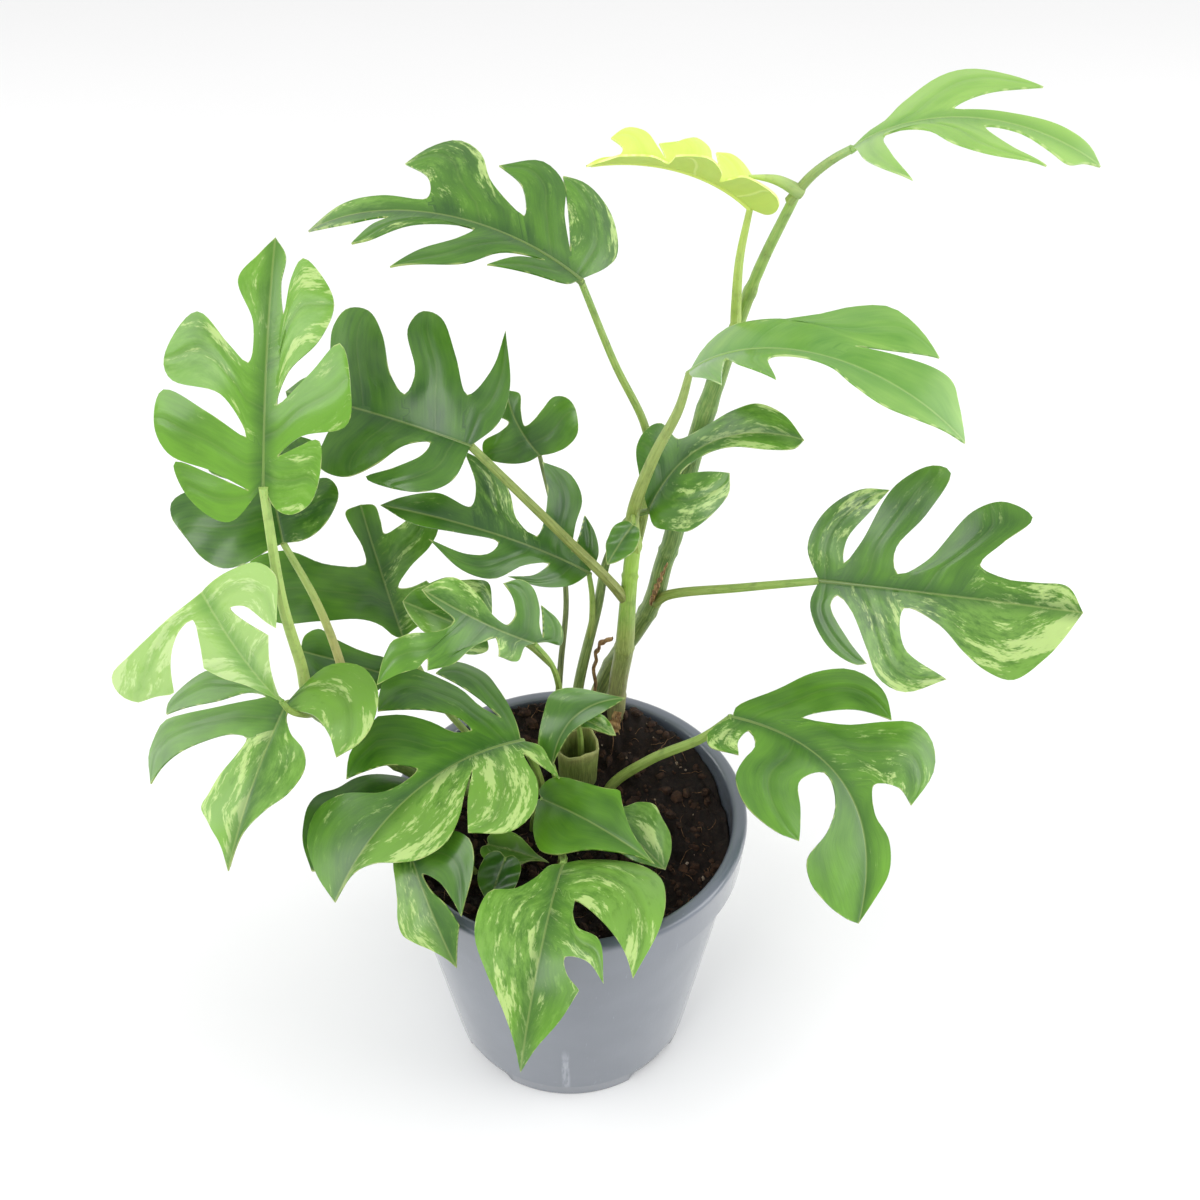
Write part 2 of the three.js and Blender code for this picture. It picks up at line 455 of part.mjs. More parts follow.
// A leaf blade in its own frame: x runs from the base to the tip of the midrib, y to the left, z out of the
// upper side. The midrib is an arc, and each half is an arc that starts with its fold and curls down.
class Blade {
  constructor({ base, tip, face, droop, fold = [BLADE_FOLD, BLADE_FOLD], curl = [BLADE_CURL, BLADE_CURL],
    bend = 0, left, right }) {
    const radians = THREE.MathUtils.degToRad;
    this.base = vector(base);
    const chord = vector(tip).sub(this.base);
    this.along = chord.clone().normalize();
    this.face = vector(face).projectOnPlane(this.along).normalize();
    this.side = new THREE.Vector3().crossVectors(this.face, this.along);
    this.droop = radians(droop);
    this.length = (chord.length() * this.droop) / 2 / Math.sin(this.droop / 2);
    this.fold = fold.map(radians);
    this.curl = curl.map(radians);
    this.bend = bend;
    this.left = left;
    this.right = right;
  }

  // Section across one half: distance to the side, height and the offset along the half's own normal
  section(half, v, offset) {
    const sign = half === 0 ? 1 : -1;
    const fold = this.fold[half];
    const turned = fold - this.curl[half] * Math.abs(v);
    const scale = this.length / this.curl[half];
    const y = scale * (Math.sin(fold) - Math.sin(turned)) - offset * Math.sin(turned);
    const h = scale * (Math.cos(turned) - Math.cos(fold)) + offset * Math.cos(turned);
    return [sign * y, h];
  }

  // How far the bend carries the midrib sideways, most at its middle
  sideways(u) {
    return this.bend * 4 * u * (1 - u);
  }

  point(u, v, offset) {
    const [leftY, leftH] = this.section(0, v, offset);
    const [rightY, rightH] = this.section(1, v, offset);
    let y = v > 0 ? leftY : rightY;
    let h = v > 0 ? leftH : rightH;
    if (v === 0) {
      y = (leftY + rightY) / 2;
      h = (leftH + rightH) / 2;
    }
    y += this.length * this.sideways(u);
    const half = this.droop / 2;
    const turn = half - this.droop * u;
    const radius = this.length / this.droop;
    const x = radius * (Math.sin(half) - Math.sin(turn)) - h * Math.sin(turn);
    const z = radius * (Math.cos(turn) - Math.cos(half)) + h * Math.cos(turn);
    return [x, y, z];
  }

  // The outline of one half from base to tip: smooth through its points, broken at each sharp tip
  margin(points) {
    const samples = this.samplesPerSpan();
    const line = [];
    let run = [new THREE.Vector3(0, 0, 0)];
    for (const [u, v, kind] of [...points, [100, 0, "tip"]]) {
      run.push(new THREE.Vector3(u / 100, v / 100, 0));
      if (kind !== "tip") continue;
      const curve = new THREE.CatmullRomCurve3(run, false, "centripetal");
      const count = (run.length - 1) * samples;
      for (let i = 1; i <= count; i++) line.push(curve.getPoint(i / count));
      run = [run.at(-1)];
    }
    return line.slice(0, -1).map((point) => [point.x, point.y]);
  }

  samplesPerSpan() {
    return this.length > LONG_BLADE ? 2 : 1;
  }

  // The ids around each lobe of one half. A gap or a vein's end is joined to the midrib, as a vein would be.
  lobes(points, midribIds, marginIds) {
    const found = [];
    let root = 0;
    let margin = 0;
    const close = (nextRoot, nextMargin) => {
      const outside = marginIds.slice(margin, nextMargin + 1).reverse();
      found.push([...midribIds.slice(root, nextRoot + 1), ...outside]);
      root = nextRoot;
      margin = nextMargin;
    };
    for (const [i, [u, v, kind]] of points.entries()) {
      if (kind !== "gap" && kind !== "vein") continue;
      const start = Math.round((MIDRIB_STEPS * (u - Math.abs(v) / 2)) / 100);
      close(THREE.MathUtils.clamp(start, root + 1, MIDRIB_STEPS - 1), (i + 1) * this.samplesPerSpan() - 1);
    }
    close(MIDRIB_STEPS, marginIds.length - 1);
    return found;
  }

  // The flat place of a point, for the triangles: the bend is applied, the arcs aren't
  flat([u, v]) {
    return new THREE.Vector2(u, v + this.sideways(u));
  }

  geometry(grow = 0) {
    const halfThickness = BLADE_THICKNESS / 2 + grow;
    const midrib = [];
    for (let i = 0; i <= MIDRIB_STEPS; i++) midrib.push([i / MIDRIB_STEPS, 0]);
    const left = this.margin(this.left);
    const right = this.margin(this.right);
    const places = [...midrib, ...left, ...right];
    const ids = (start, count) => Array.from({ length: count }, (_, i) => start + i);
    const midribIds = ids(0, midrib.length);
    const leftIds = ids(midrib.length, left.length);
    const rightIds = ids(midrib.length + left.length, right.length);
    const lobes = [
      ...this.lobes(this.left, midribIds, leftIds),
      ...this.lobes(this.right, midribIds, rightIds).map((lobe) => lobe.reverse()),
    ];
    const rim = [0, ...rightIds, MIDRIB_STEPS, ...leftIds.toReversed()];
    const count = places.length;
    const corners = [];
    for (const lobe of lobes) {
      const contour = lobe.map((id) => this.flat(places[id]));
      for (const triangle of THREE.ShapeUtils.triangulateShape(contour, [])) {
        const [a, b, c] = triangle.map((i) => lobe[i]);
        corners.push(a, b, c, count + a, count + c, count + b);
      }
    }
    for (let i = 0; i < rim.length; i++) {
      const a = rim[i];
      const b = rim[(i + 1) % rim.length];
      corners.push(count + a, count + b, b, count + a, b, a);
    }
    const upper = places.flatMap(([u, v]) => this.point(u, v, halfThickness));
    const lower = places.flatMap(([u, v]) => this.point(u, v, -halfThickness));
    return indexedGeometry([...upper, ...lower], corners);
  }

  matrix() {
    return new THREE.Matrix4().makeBasis(this.along, this.side, this.face).setPosition(this.base);
  }
}

// The rod of a leaf stalk, ended a little before the blade's base or run into it
function stalkShape(leaf, endGap) {
  const route = leaf.stalk.map((point) => [...point]);
  const end = vector(route.at(-1));
  const forward = end.clone().sub(vector(route.at(-2))).normalize();
  route[route.length - 1] = [...end.addScaledVector(forward, -endGap)];
  const [thick, thin] = leaf.radius;
  const radii = route.map((_, i) => THREE.MathUtils.lerp(thick, thin, i / (route.length - 1)));
  return { route, radii };
}

// Every stem and stalk as a rod, so that any of them can cut another or the soil
const rods = { ...RODS };
for (const [number, leaf] of Object.entries(LEAVES)) {
  const cutBy = [...(leaf.cutBy ?? []), `blade_${number}`];
  rods[`stalk_${number}`] = { ...stalkShape(leaf, STALK_END_GAP), cutBy };
}

function cutterOf(name) {
  if (name in rods) return solidOf(rod({ ...rods[name], grow: CLEARANCE }));
  const blade = new Blade(LEAVES[name.split("_")[1]]);
  return solidOf(blade.geometry(CLEARANCE).applyMatrix4(blade.matrix()));
}

function cut(solid, cutters) {
  let rest = solid;
  for (const name of cutters ?? []) rest = rest.subtract(cutterOf(name));
  return rest.decompose().sort((a, b) => b.volume() - a.volume())[0];
}

// Inner radius of the pot's wall at a height
function innerRadius(z) {
  return FOOT_RADIUS - WALL + ((WALL_RADIUS - FOOT_RADIUS) * z) / COLLAR_BOTTOM;
}

function pot() {
  const insideTop = RIM_RADIUS - RIM_WIDTH;
  const profile = [
    [0, 0],
    [FOOT_RADIUS - CORNER, 0],
    [FOOT_RADIUS, CORNER],
    [WALL_RADIUS, COLLAR_BOTTOM],
    [NECK_RADIUS, POT_HEIGHT - RIM_THICKNESS],
    [RIM_RADIUS - COLLAR_WALL, POT_HEIGHT - RIM_THICKNESS],
    [COLLAR_RADIUS - COLLAR_WALL, COLLAR_BOTTOM],
    [COLLAR_RADIUS, COLLAR_BOTTOM],
    [RIM_RADIUS, POT_HEIGHT - CORNER * 2],
    [RIM_RADIUS - CORNER, POT_HEIGHT - CORNER / 2],
    [RIM_RADIUS - CORNER * 2, POT_HEIGHT],
    [insideTop + CORNER * 2, POT_HEIGHT],
    [insideTop + CORNER / 2, POT_HEIGHT - CORNER],
    [insideTop, POT_HEIGHT - RIM_THICKNESS],
    [innerRadius(COLLAR_BOTTOM), COLLAR_BOTTOM],
    [innerRadius(FLOOR), FLOOR],
    [0, FLOOR],
  ];
  const points = profile.map(([x, y]) => new THREE.Vector2(x, y));
  let shell = solidOf(new THREE.LatheGeometry(points, POT_SEGMENTS).rotateX(Math.PI / 2));
  for (const angle of DRAIN_ANGLES) {
    const notch = new THREE.BoxGeometry(DRAIN_DEPTH, DRAIN_WIDTH, 2 * DRAIN_HEIGHT);
    notch.translate(FOOT_RADIUS, 0, 0).rotateZ(THREE.MathUtils.degToRad(angle));
    shell = shell.subtract(solidOf(notch));
  }
  return shell;
}

function soilHeight(x, y) {
  const heap = SOIL_HEAP_RATE * Math.max(0, y - SOIL_HEAP_START) ** 2;
  const lumps = SOIL_LUMP * Math.sin(x * LUMPS_ACROSS + 1) * Math.sin(y * LUMPS_BACK + x * LUMPS_SKEW);
  const distance = Math.hypot(x, y);
  const nearWall = SOIL_EDGE_HEIGHT + SOIL_EDGE_SLOPE * (innerRadius(COLLAR_BOTTOM) - distance);
  return Math.min(SOIL_FRONT_HEIGHT + heap + lumps, nearWall);
}

function soil() {
  const positions = [];
  const corners = [];
  const ring = (radiusAt, heightAt) => {
    for (let i = 0; i < POT_SEGMENTS; i++) {
      const angle = (2 * Math.PI * i) / POT_SEGMENTS;
      const radius = radiusAt(angle);
      const x = radius * Math.sin(angle);
      const y = -radius * Math.cos(angle);
      positions.push(x, y, heightAt(x, y));
    }
  };
  const bottom = FLOOR + SOIL_GAP;
  const wallTop = innerRadius(COLLAR_BOTTOM) - SOIL_GAP;
  positions.push(0, 0, soilHeight(0, 0));
  for (const share of SOIL_RINGS) ring(() => share * wallTop, soilHeight);
  ring(() => innerRadius(PLUG_WALL_TOP) - SOIL_GAP, () => PLUG_WALL_TOP);
  ring(() => innerRadius(bottom) - SOIL_GAP, () => bottom);
  positions.push(0, 0, bottom);
  const rings = SOIL_RINGS.length + 2;
  const end = 1 + rings * POT_SEGMENTS;
  for (let i = 0; i < POT_SEGMENTS; i++) {
    const next = (i + 1) % POT_SEGMENTS;
    corners.push(0, 1 + i, 1 + next);
    for (let k = 0; k < rings - 1; k++) {
      const inner = 1 + k * POT_SEGMENTS;
      const outer = inner + POT_SEGMENTS;
      corners.push(inner + i, outer + i, outer + next, inner + i, outer + next, inner + next);
    }
    const lowest = 1 + (rings - 1) * POT_SEGMENTS;
    corners.push(lowest + i, end, lowest + next);
  }
  let plug = solidOf(indexedGeometry(positions, corners));
  for (const shape of Object.values(rods)) {
    if (shape.route[0][2] <= PLANTED_HEIGHT) {
      plug = plug.subtract(solidOf(rod({ ...shape, grow: CLEARANCE })));
    }
  }
  for (const leaf of Object.values(YOUNG_LEAVES)) {
    plug = plug.subtract(solidOf(rod({ ...stalkShape(leaf, 0), grow: CLEARANCE })));
  }
  return plug.subtract(stump(CLEARANCE, false));
}

function stump(grow, hollow = true) {
  const outside = STUMP_PROFILE.slice(0, STUMP_OUTSIDE);
  const profile = hollow ? STUMP_PROFILE : [...outside, [0, outside.at(-1)[1]]];
  const points = profile.map(([x, y]) => {
    const radius = x > 0 ? x + grow : 0;
    return new THREE.Vector2(radius, y > 0 ? y : -grow);
  });
  const cup = new THREE.LatheGeometry(points, STUMP_SEGMENTS).rotateX(Math.PI / 2);
  return solidOf(cup.rotateX(STUMP_LEAN).translate(...STUMP_FOOT));
}

const plant = new THREE.Group();

function place(name, geometry, look) {
  const mesh = new THREE.Mesh(geometry, MATERIALS[look]);
  mesh.name = name;
  plant.add(mesh);
  return mesh;
}

place("pot", geometryOf(pot()), "pot");
place("soil", geometryOf(soil()), "soil");
place("stump", geometryOf(stump(0)), "stump");

for (const [name, shape] of Object.entries(rods)) {
  const look = name.split("_")[0];
  const solid = cut(solidOf(rod(shape)), shape.cutBy);
  place(name, geometryOf(solid), look === "new" ? "youngBlade" : look);
}

for (const [number, leaf] of Object.entries(LEAVES)) {
  const blade = new Blade(leaf);
  const mesh = place(`blade_${number}`, weld(blade.geometry()), BLADE_MATERIALS[number] ?? "blade");
  mesh.position.copy(blade.base);
  mesh.quaternion.setFromRotationMatrix(blade.matrix());
}

for (const [number, leaf] of Object.entries(YOUNG_LEAVES)) {
  const blade = new Blade(leaf);
  const sheet = solidOf(blade.geometry().applyMatrix4(blade.matrix()));
  const stalk = solidOf(rod(stalkShape(leaf, -STALK_OVERLAP)));
  place(`leaf_${number}`, geometryOf(cut(sheet.add(stalk), leaf.cutBy)), "paleBlade");
}

export default plant;
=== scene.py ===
# A young variegated mini monstera in a 12 cm nursery pot, put together from the pot up to the newest leaf.
# Metres, +Z up, but the sizes of the pieces are in millimetres. The origin is the centre of the pot's
# underside, and -Y is the plant's front.

import math

import bmesh
import bpy
import numpy as np
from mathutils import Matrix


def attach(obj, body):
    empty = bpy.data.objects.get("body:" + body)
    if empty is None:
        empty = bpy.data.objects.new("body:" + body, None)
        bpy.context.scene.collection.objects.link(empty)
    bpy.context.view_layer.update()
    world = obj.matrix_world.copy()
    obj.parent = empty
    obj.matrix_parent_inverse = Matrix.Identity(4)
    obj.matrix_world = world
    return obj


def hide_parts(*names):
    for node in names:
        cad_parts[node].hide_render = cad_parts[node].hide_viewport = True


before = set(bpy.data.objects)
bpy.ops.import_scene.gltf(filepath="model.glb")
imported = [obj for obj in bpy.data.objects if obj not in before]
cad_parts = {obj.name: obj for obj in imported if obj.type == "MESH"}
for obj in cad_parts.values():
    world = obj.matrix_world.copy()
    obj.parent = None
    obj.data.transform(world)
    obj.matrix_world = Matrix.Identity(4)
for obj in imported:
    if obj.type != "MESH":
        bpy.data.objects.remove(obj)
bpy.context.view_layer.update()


# The pot is one thin shell of dark grey polypropylene, injection moulded. Its wall tapers to the foot, a
# skirt hangs from the rolled rim, and four notches in the foot let water out. The gate left a mark in front.
MM = 0.001
WELD = 0.002
POT_SIDES = 192
FOOT = 42
FOOT_EDGE = 0.25
WALL = 1.6
SKIRT_RADIUS = 56.5
SKIRT_HEIGHT = 87
NOTCH_INSIDE = 38.5
NOTCH_HEIGHT = 2.6
NOTCH_WIDTH = 20
NOTCH_SLOPE = 0.7
NOTCH_LIP = 0.3
POT_PROFILE = [  # radius and height of the wall's outside, the skirt, the rim and the inside
    [FOOT, 0.8], [42.7, 5.6], [42.95, 6.1], [43.2, 6.3], [SKIRT_RADIUS, SKIRT_HEIGHT], [57.1, 99.6],
    [57.5, 100], [58.3, 100], [58.65, 99.6], [57.7, 87.5], [57.8, 87.1], [58.2, 87], [58.7, 87],
    [58.95, 87.1], [59, 87.5], [59.9, 99.6], [60, 100.4], [59.9, 101], [59.5, 101.6], [58.9, 101.9],
    [58.2, 102], [57, 102], [56.2, 101.9], [55.5, 101.5], [55.15, 100.8], [55, 100], [54.9, 87], [40.9, 3],
    [40.2, 2.1], [39.6, 2], [20, 2], [0, 2],
]
PLASTIC = (98, 106, 118)
PLASTIC_SCUFF = (150, 156, 166)


def grid_faces(rows, columns, around):
    """Quads between the points of a grid, row by row; around joins the last column to the first."""
    here = np.arange(rows * columns).reshape(rows, columns)
    if around:
        here = np.hstack([here, here[:, :1]])
    corners = [here[:-1, :-1], here[:-1, 1:], here[1:, 1:], here[1:, :-1]]
    return np.stack(corners, -1).reshape(-1, 4)


def add_piece(name, parts, finishes, stands_for, slot, crease=48):
    """Joins grids of points in millimetres into one mesh, merges equal points and fixes it to the plant."""
    points = np.vstack([part["points"].reshape(-1, 3) for part in parts]) * MM
    quads = []
    looks = []
    start = 0
    for part in parts:
        rows, columns = part["points"].shape[:2]
        quads.append(grid_faces(rows, columns, part.get("around", False)) + start)
        looks.append(np.full(len(quads[-1]), part.get("look", 0)))
        start += rows * columns
    corners = np.vstack(quads).ravel()
    mesh = bpy.data.meshes.new(name)
    mesh.vertices.add(len(points))
    mesh.vertices.foreach_set("co", points.ravel())
    mesh.loops.add(len(corners))
    mesh.loops.foreach_set("vertex_index", corners)
    mesh.polygons.add(len(corners) // 4)
    mesh.polygons.foreach_set("loop_start", np.arange(0, len(corners), 4))
    mesh.update(calc_edges=True)
    for finish in finishes:
        mesh.materials.append(finish)
    mesh.polygons.foreach_set("material_index", np.concatenate(looks))
    for mark in sorted({key for part in parts for key in part.get("marks", {})}):
        none = [np.zeros(part["points"].shape) for part in parts]
        rows = [part.get("marks", {}).get(mark, zero).reshape(-1, 3) for part, zero in zip(parts, none)]
        layer = mesh.attributes.new(mark, "FLOAT_VECTOR", "POINT")
        layer.data.foreach_set("vector", np.vstack(rows).astype(np.float32).ravel())
    welded = bmesh.new()
    welded.from_mesh(mesh)
    bmesh.ops.remove_doubles(welded, verts=welded.verts, dist=WELD * MM)
    welded.to_mesh(mesh)
    welded.free()
    mesh.polygons.foreach_set("use_smooth", np.ones(len(mesh.polygons), bool))
    mesh.set_sharp_from_angle(angle=math.radians(crease))
    piece = bpy.data.objects.new(name, mesh)
    bpy.context.scene.collection.objects.link(piece)
    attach(piece, "root")
    if stands_for:
        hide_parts(*stands_for)


class Value:
    """A node's output. Sums and products of values add Math nodes."""

    def __init__(self, finish, socket):
        self.finish = finish
        self.socket = socket

    def math(self, operation, first, second):
        return self.finish.node("ShaderNodeMath", {"operation": operation}, {0: first, 1: second})

    def __add__(self, other):
        return self.math("ADD", self, other)

    def __sub__(self, other):
        return self.math("SUBTRACT", self, other)

    def __rsub__(self, other):
        return self.math("SUBTRACT", other, self)

    def __mul__(self, other):
        return self.math("MULTIPLY", self, other)

    def __abs__(self):
        return self.math("ABSOLUTE", self, 0)

    __radd__ = __add__
    __rmul__ = __mul__


class Finish:
    """A surface finish. Its nodes end in one Principled shader, whose plain numbers are given first."""

    def __init__(self, name, plain):
        self.material = bpy.data.materials.new(name)
        self.material.use_nodes = True
        self.tree = self.material.node_tree
        self.shader = self.tree.nodes["Principled BSDF"]
        for socket, number in plain.items():
            self.shader.inputs[socket].default_value = number

    def node(self, kind, settings, sockets, output=0):
        """Adds a node of a kind: its settings first, then the numbers or links of its sockets."""
        node = self.tree.nodes.new(kind)
        for key, setting in settings.items():
            if key == "stops":
                ramp = node.color_ramp.elements
                while len(ramp) < len(setting):
                    ramp.new(0.5)
                for stop, (place, colour) in zip(ramp, setting):
                    stop.position = place
                    stop.color = colour
            else:
                setattr(node, key, setting)
        for key, value in sockets.items():
            if isinstance(value, Value):
                self.tree.links.new(value.socket, node.inputs[key])
            else:
                node.inputs[key].default_value = value
        return Value(self, node.outputs[output])

    def place(self):
        return self.node("ShaderNodeTexCoord", {}, {}, "Object")

    def mark(self, name):
        return self.node("ShaderNodeAttribute", {"attribute_name": name}, {}, "Vector")

    def part(self, vector, axis):
        return self.node("ShaderNodeSeparateXYZ", {}, {0: vector}, axis)

    def stretched(self, vector, scale):
        return self.node("ShaderNodeVectorMath", {"operation": "MULTIPLY"}, {0: vector, 1: scale})

    def noise(self, vector, size, detail=3, roughness=0.5):
        """Soft random values round 0.5 with lumps of the given size."""
        sockets = {"Vector": vector, "Scale": 1 / size, "Detail": detail, "Roughness": roughness}
        return self.node("ShaderNodeTexNoise", {}, sockets)

    def step(self, value, low, high):
        """Rises smoothly from 0 at low to 1 at high."""
        sockets = {"Value": value, "From Min": low, "From Max": high}
        return self.node("ShaderNodeMapRange", {"interpolation_type": "SMOOTHSTEP"}, sockets)

    def mix(self, amount, first, second):
        """A colour that goes from the first to the second as amount goes from 0 to 1."""
        return self.node("ShaderNodeMix", {"data_type": "RGBA"}, {0: amount, 6: first, 7: second}, 2)

    def bump(self, height, depth):
        """A normal for a height that goes from 0 to 1 over the given depth in metres."""
        return self.node("ShaderNodeBump", {}, {"Height": height, "Distance": depth})

    def surface(self, links):
        for socket, value in links.items():
            self.tree.links.new(value.socket, self.shader.inputs[socket])
        return self.material


def dye(red, green, blue):
    """A colour from its three screen values, 0 to 255, as linear light."""
    screen = np.array([red, green, blue]) / 255
    return (*(((screen + 0.055) / 1.055) ** 2.4), 1)


def plastic():
    finish = Finish("grey_polypropylene", {
        "IOR": 1.55, "Specular IOR Level": 0.6, "Coat Weight": 1.0, "Coat Roughness": 0.12,
    })
    place = finish.place()
    x, y, z = [finish.part(place, axis) for axis in "XYZ"]
    drawn = finish.noise(finish.stretched(place, (1, 1, 0.06)), 0.0011, 4, 0.6)
    cloud = finish.noise(place, 0.02, 3)
    dirt = finish.step(finish.noise(place, 0.004, 5, 0.7), 0.6, 0.72) * (1 - finish.step(z, 0.004, 0.02))
    line = 1 - finish.step(abs(x + 0.0006 + 0.001 * cloud), 0.0006, 0.0018)
    tall = finish.step(z, 0.003, 0.009) * (1 - finish.step(z, 0.026, 0.036))
    front = 1 - finish.step(y, -0.03, -0.02)
    gate_mark = line * tall * front * finish.step(drawn, 0.3, 0.6)
    scratch = finish.step(drawn, 0.64, 0.74) * finish.step(cloud, 0.45, 0.6)
    base = finish.mix(cloud, dye(*PLASTIC), dye(*[c - 10 for c in PLASTIC]))
    worn = finish.mix(scratch * 0.35 + gate_mark * 0.7 + dirt * 0.5, base, dye(*PLASTIC_SCUFF))
    rough = 0.34 + 0.14 * cloud + 0.12 * scratch + 0.2 * dirt
    return finish.surface({
        "Base Color": worn,
        "Roughness": rough,
        "Normal": finish.bump(drawn * 0.5 + cloud, 0.00006),
    })


def turned(profile, sides):
    """A profile of radius and height turned round +Z: x = r sin a, y = -r cos a."""
    profile = np.asarray(profile, float)
    if profile.ndim == 2:
        profile = np.repeat(profile[:, None], sides, 1)
    angle = np.linspace(0, 2 * np.pi, sides, endpoint=False)
    radius, height = profile[..., 0], profile[..., 1]
    return np.stack([radius * np.sin(angle), -radius * np.cos(angle), height], -1)


def pot_grid():
    """The shell turned round +Z. Its foot is lifted over four notches, halfway between the axes. The lift is
    the notch's height times the distance from the notch's side over the slope's width, held in 0 to 1."""
    angle = np.linspace(0, 2 * np.pi, POT_SIDES, endpoint=False)
    from_notch = np.abs(angle % (np.pi / 2) - np.pi / 4)
    across = FOOT * np.sin(from_notch)
    lift = NOTCH_HEIGHT * np.clip((NOTCH_WIDTH / 2 - across) / NOTCH_SLOPE, 0, 1)
    level = [[0, 0], [NOTCH_INSIDE - 0.2, 0], [NOTCH_INSIDE, 0]]
    notched = [[NOTCH_INSIDE, 0], [FOOT - 0.8, 0], [FOOT - 0.2, FOOT_EDGE]]
    foot = level + notched
    profile = np.repeat(np.array(foot + POT_PROFILE, float)[:, None], POT_SIDES, 1)
    wall_start = len(foot)
    profile[len(level):wall_start, :, 1] += lift
    profile[wall_start, :, 1] = np.maximum(profile[wall_start, :, 1], FOOT_EDGE + lift + NOTCH_LIP)
    return turned(profile, POT_SIDES)


shell = {"points": pot_grid(), "around": True}
add_piece("pot_shell", [shell], [plastic()], ["pot"], "pot_plastic", crease=40)


# Potting mix fills the pot: black-brown peat with bark crumbs, coir fibres and a few pale grains. It is
# heaped up behind the stems and lies lower at the front. It was poured in and settled by watering.
SOIL_SIDES = 300
SOIL_RINGS = 90
SOIL_WALL_GAP = 0.45
SOIL_LOW = 88
SOIL_SHOULDER = 84
SOIL_BOTTOM = 2.45
SOIL_AT_WALL = 97
SOIL_WAVE = 0.9
SOIL_LUMPS = [(2.6, 5.5), (1.9, 2.3), (1.1, 1.1)]  # height and width of each kind of lump
LATTICE = 128
SLOPE_AT_WALL = 1.4
HEAP_FRONT = -15
HEAP_RISE = 0.005
CRUMBS = 900
GRAINS = 70
FIBRES = 150
CRUMB_SIZES = (0.5, 2.4)
GRAIN_SIZES = (0.35, 0.9)
CRUMBS_WITHIN = 52
FIBRES_WITHIN = 50
CRUMB_RINGS = 5
CRUMB_SIDES = 6
FIBRE_POINTS = 7
PEAT = (38, 26, 20)
PEAT_WET = (17, 11, 8)
BARK = (74, 50, 34)
COIR = (150, 116, 84)
PALE_GRAIN = (176, 160, 142)


def lattice(x, y, size, seed):
    """Random heights 0 to 1 on a square lattice of the given size, joined by a smooth step both ways."""
    table = np.random.default_rng(seed).random((LATTICE, LATTICE))
    u, v = x / size, y / size
    i, j = np.floor(u).astype(int), np.floor(v).astype(int)
    a, b = u - i, v - j
    a, b = a * a * (3 - 2 * a), b * b * (3 - 2 * b)
    i, j, after_i, after_j = i % LATTICE, j % LATTICE, (i + 1) % LATTICE, (j + 1) % LATTICE
    low = table[i, j] * (1 - a) + table[after_i, j] * a
    high = table[i, after_j] * (1 - a) + table[after_i, after_j] * a
    return low * (1 - b) + high * b


def pot_inside(z):
    """Radius of the pot's wall inside at a height."""
    return FOOT - WALL + (SKIRT_RADIUS - FOOT) * z / SKIRT_HEIGHT


def soil_height(x, y):
    """A heap that rises as a square behind its front, plus long waves, held below a slope that falls to the
    wall, plus three sizes of lumps."""
    heap = HEAP_RISE * np.maximum(0, y - HEAP_FRONT) ** 2
    waves = SOIL_WAVE * np.sin(x * 0.31 + 1) * np.sin(y * 0.27 + x * 0.09)
    lumps = sum(
        height * (lattice(x, y, width, seed) - 0.5) for seed, (height, width) in enumerate(SOIL_LUMPS, 1))
    near_wall = SOIL_AT_WALL + SLOPE_AT_WALL * (pot_inside(SKIRT_HEIGHT) - np.hypot(x, y))
    return np.minimum(SOIL_LOW + heap + waves, near_wall) + lumps


def soil_grid():
    """Rings from the middle of the top to the wall, down the wall, and in again underneath."""
    wall = pot_inside(SKIRT_HEIGHT) - SOIL_WALL_GAP
    radius = wall * np.linspace(0, 1, SOIL_RINGS)[:, None] * np.ones(SOIL_SIDES)
    angle = np.linspace(0, 2 * np.pi, SOIL_SIDES, endpoint=False)
    top = np.stack([radius, soil_height(radius * np.sin(angle), -radius * np.cos(angle))], -1)
    side = [[pot_inside(z) - SOIL_WALL_GAP, z] for z in (SOIL_SHOULDER, SOIL_BOTTOM)]
    side = np.repeat(np.array([*side, [0, SOIL_BOTTOM]])[:, None], SOIL_SIDES, 1)
    return turned(np.concatenate([top, side]), SOIL_SIDES)[::-1]


def earth(name, dark, light, size):
    finish = Finish(name, {"Specular IOR Level": 0.3})
    place = finish.place()
    lump = finish.noise(place, size, 6, 0.7)
    speck = finish.noise(place, size / 6, 2)
    damp = finish.noise(place, 0.02, 2)
    colour = finish.mix(finish.step(lump, 0.35, 0.7), dark, light)
    return finish.surface({
        "Base Color": finish.mix(finish.step(speck, 0.66, 0.78) * 0.35, colour, dye(*COIR)),
        "Roughness": 0.72 + 0.25 * finish.step(damp, 0.35, 0.6),
        "Normal": finish.bump(lump + 0.5 * speck, 0.0006),
    })


def scattered(count, seed, within):
    """Places on the soil at random, as x, y and the height there."""
    chance = np.random.default_rng(seed)
    radius = within * np.sqrt(chance.random(count))
    angle = 2 * np.pi * chance.random(count)
    x, y = radius * np.sin(angle), -radius * np.cos(angle)
    return np.stack([x, y, soil_height(x, y)], -1), chance


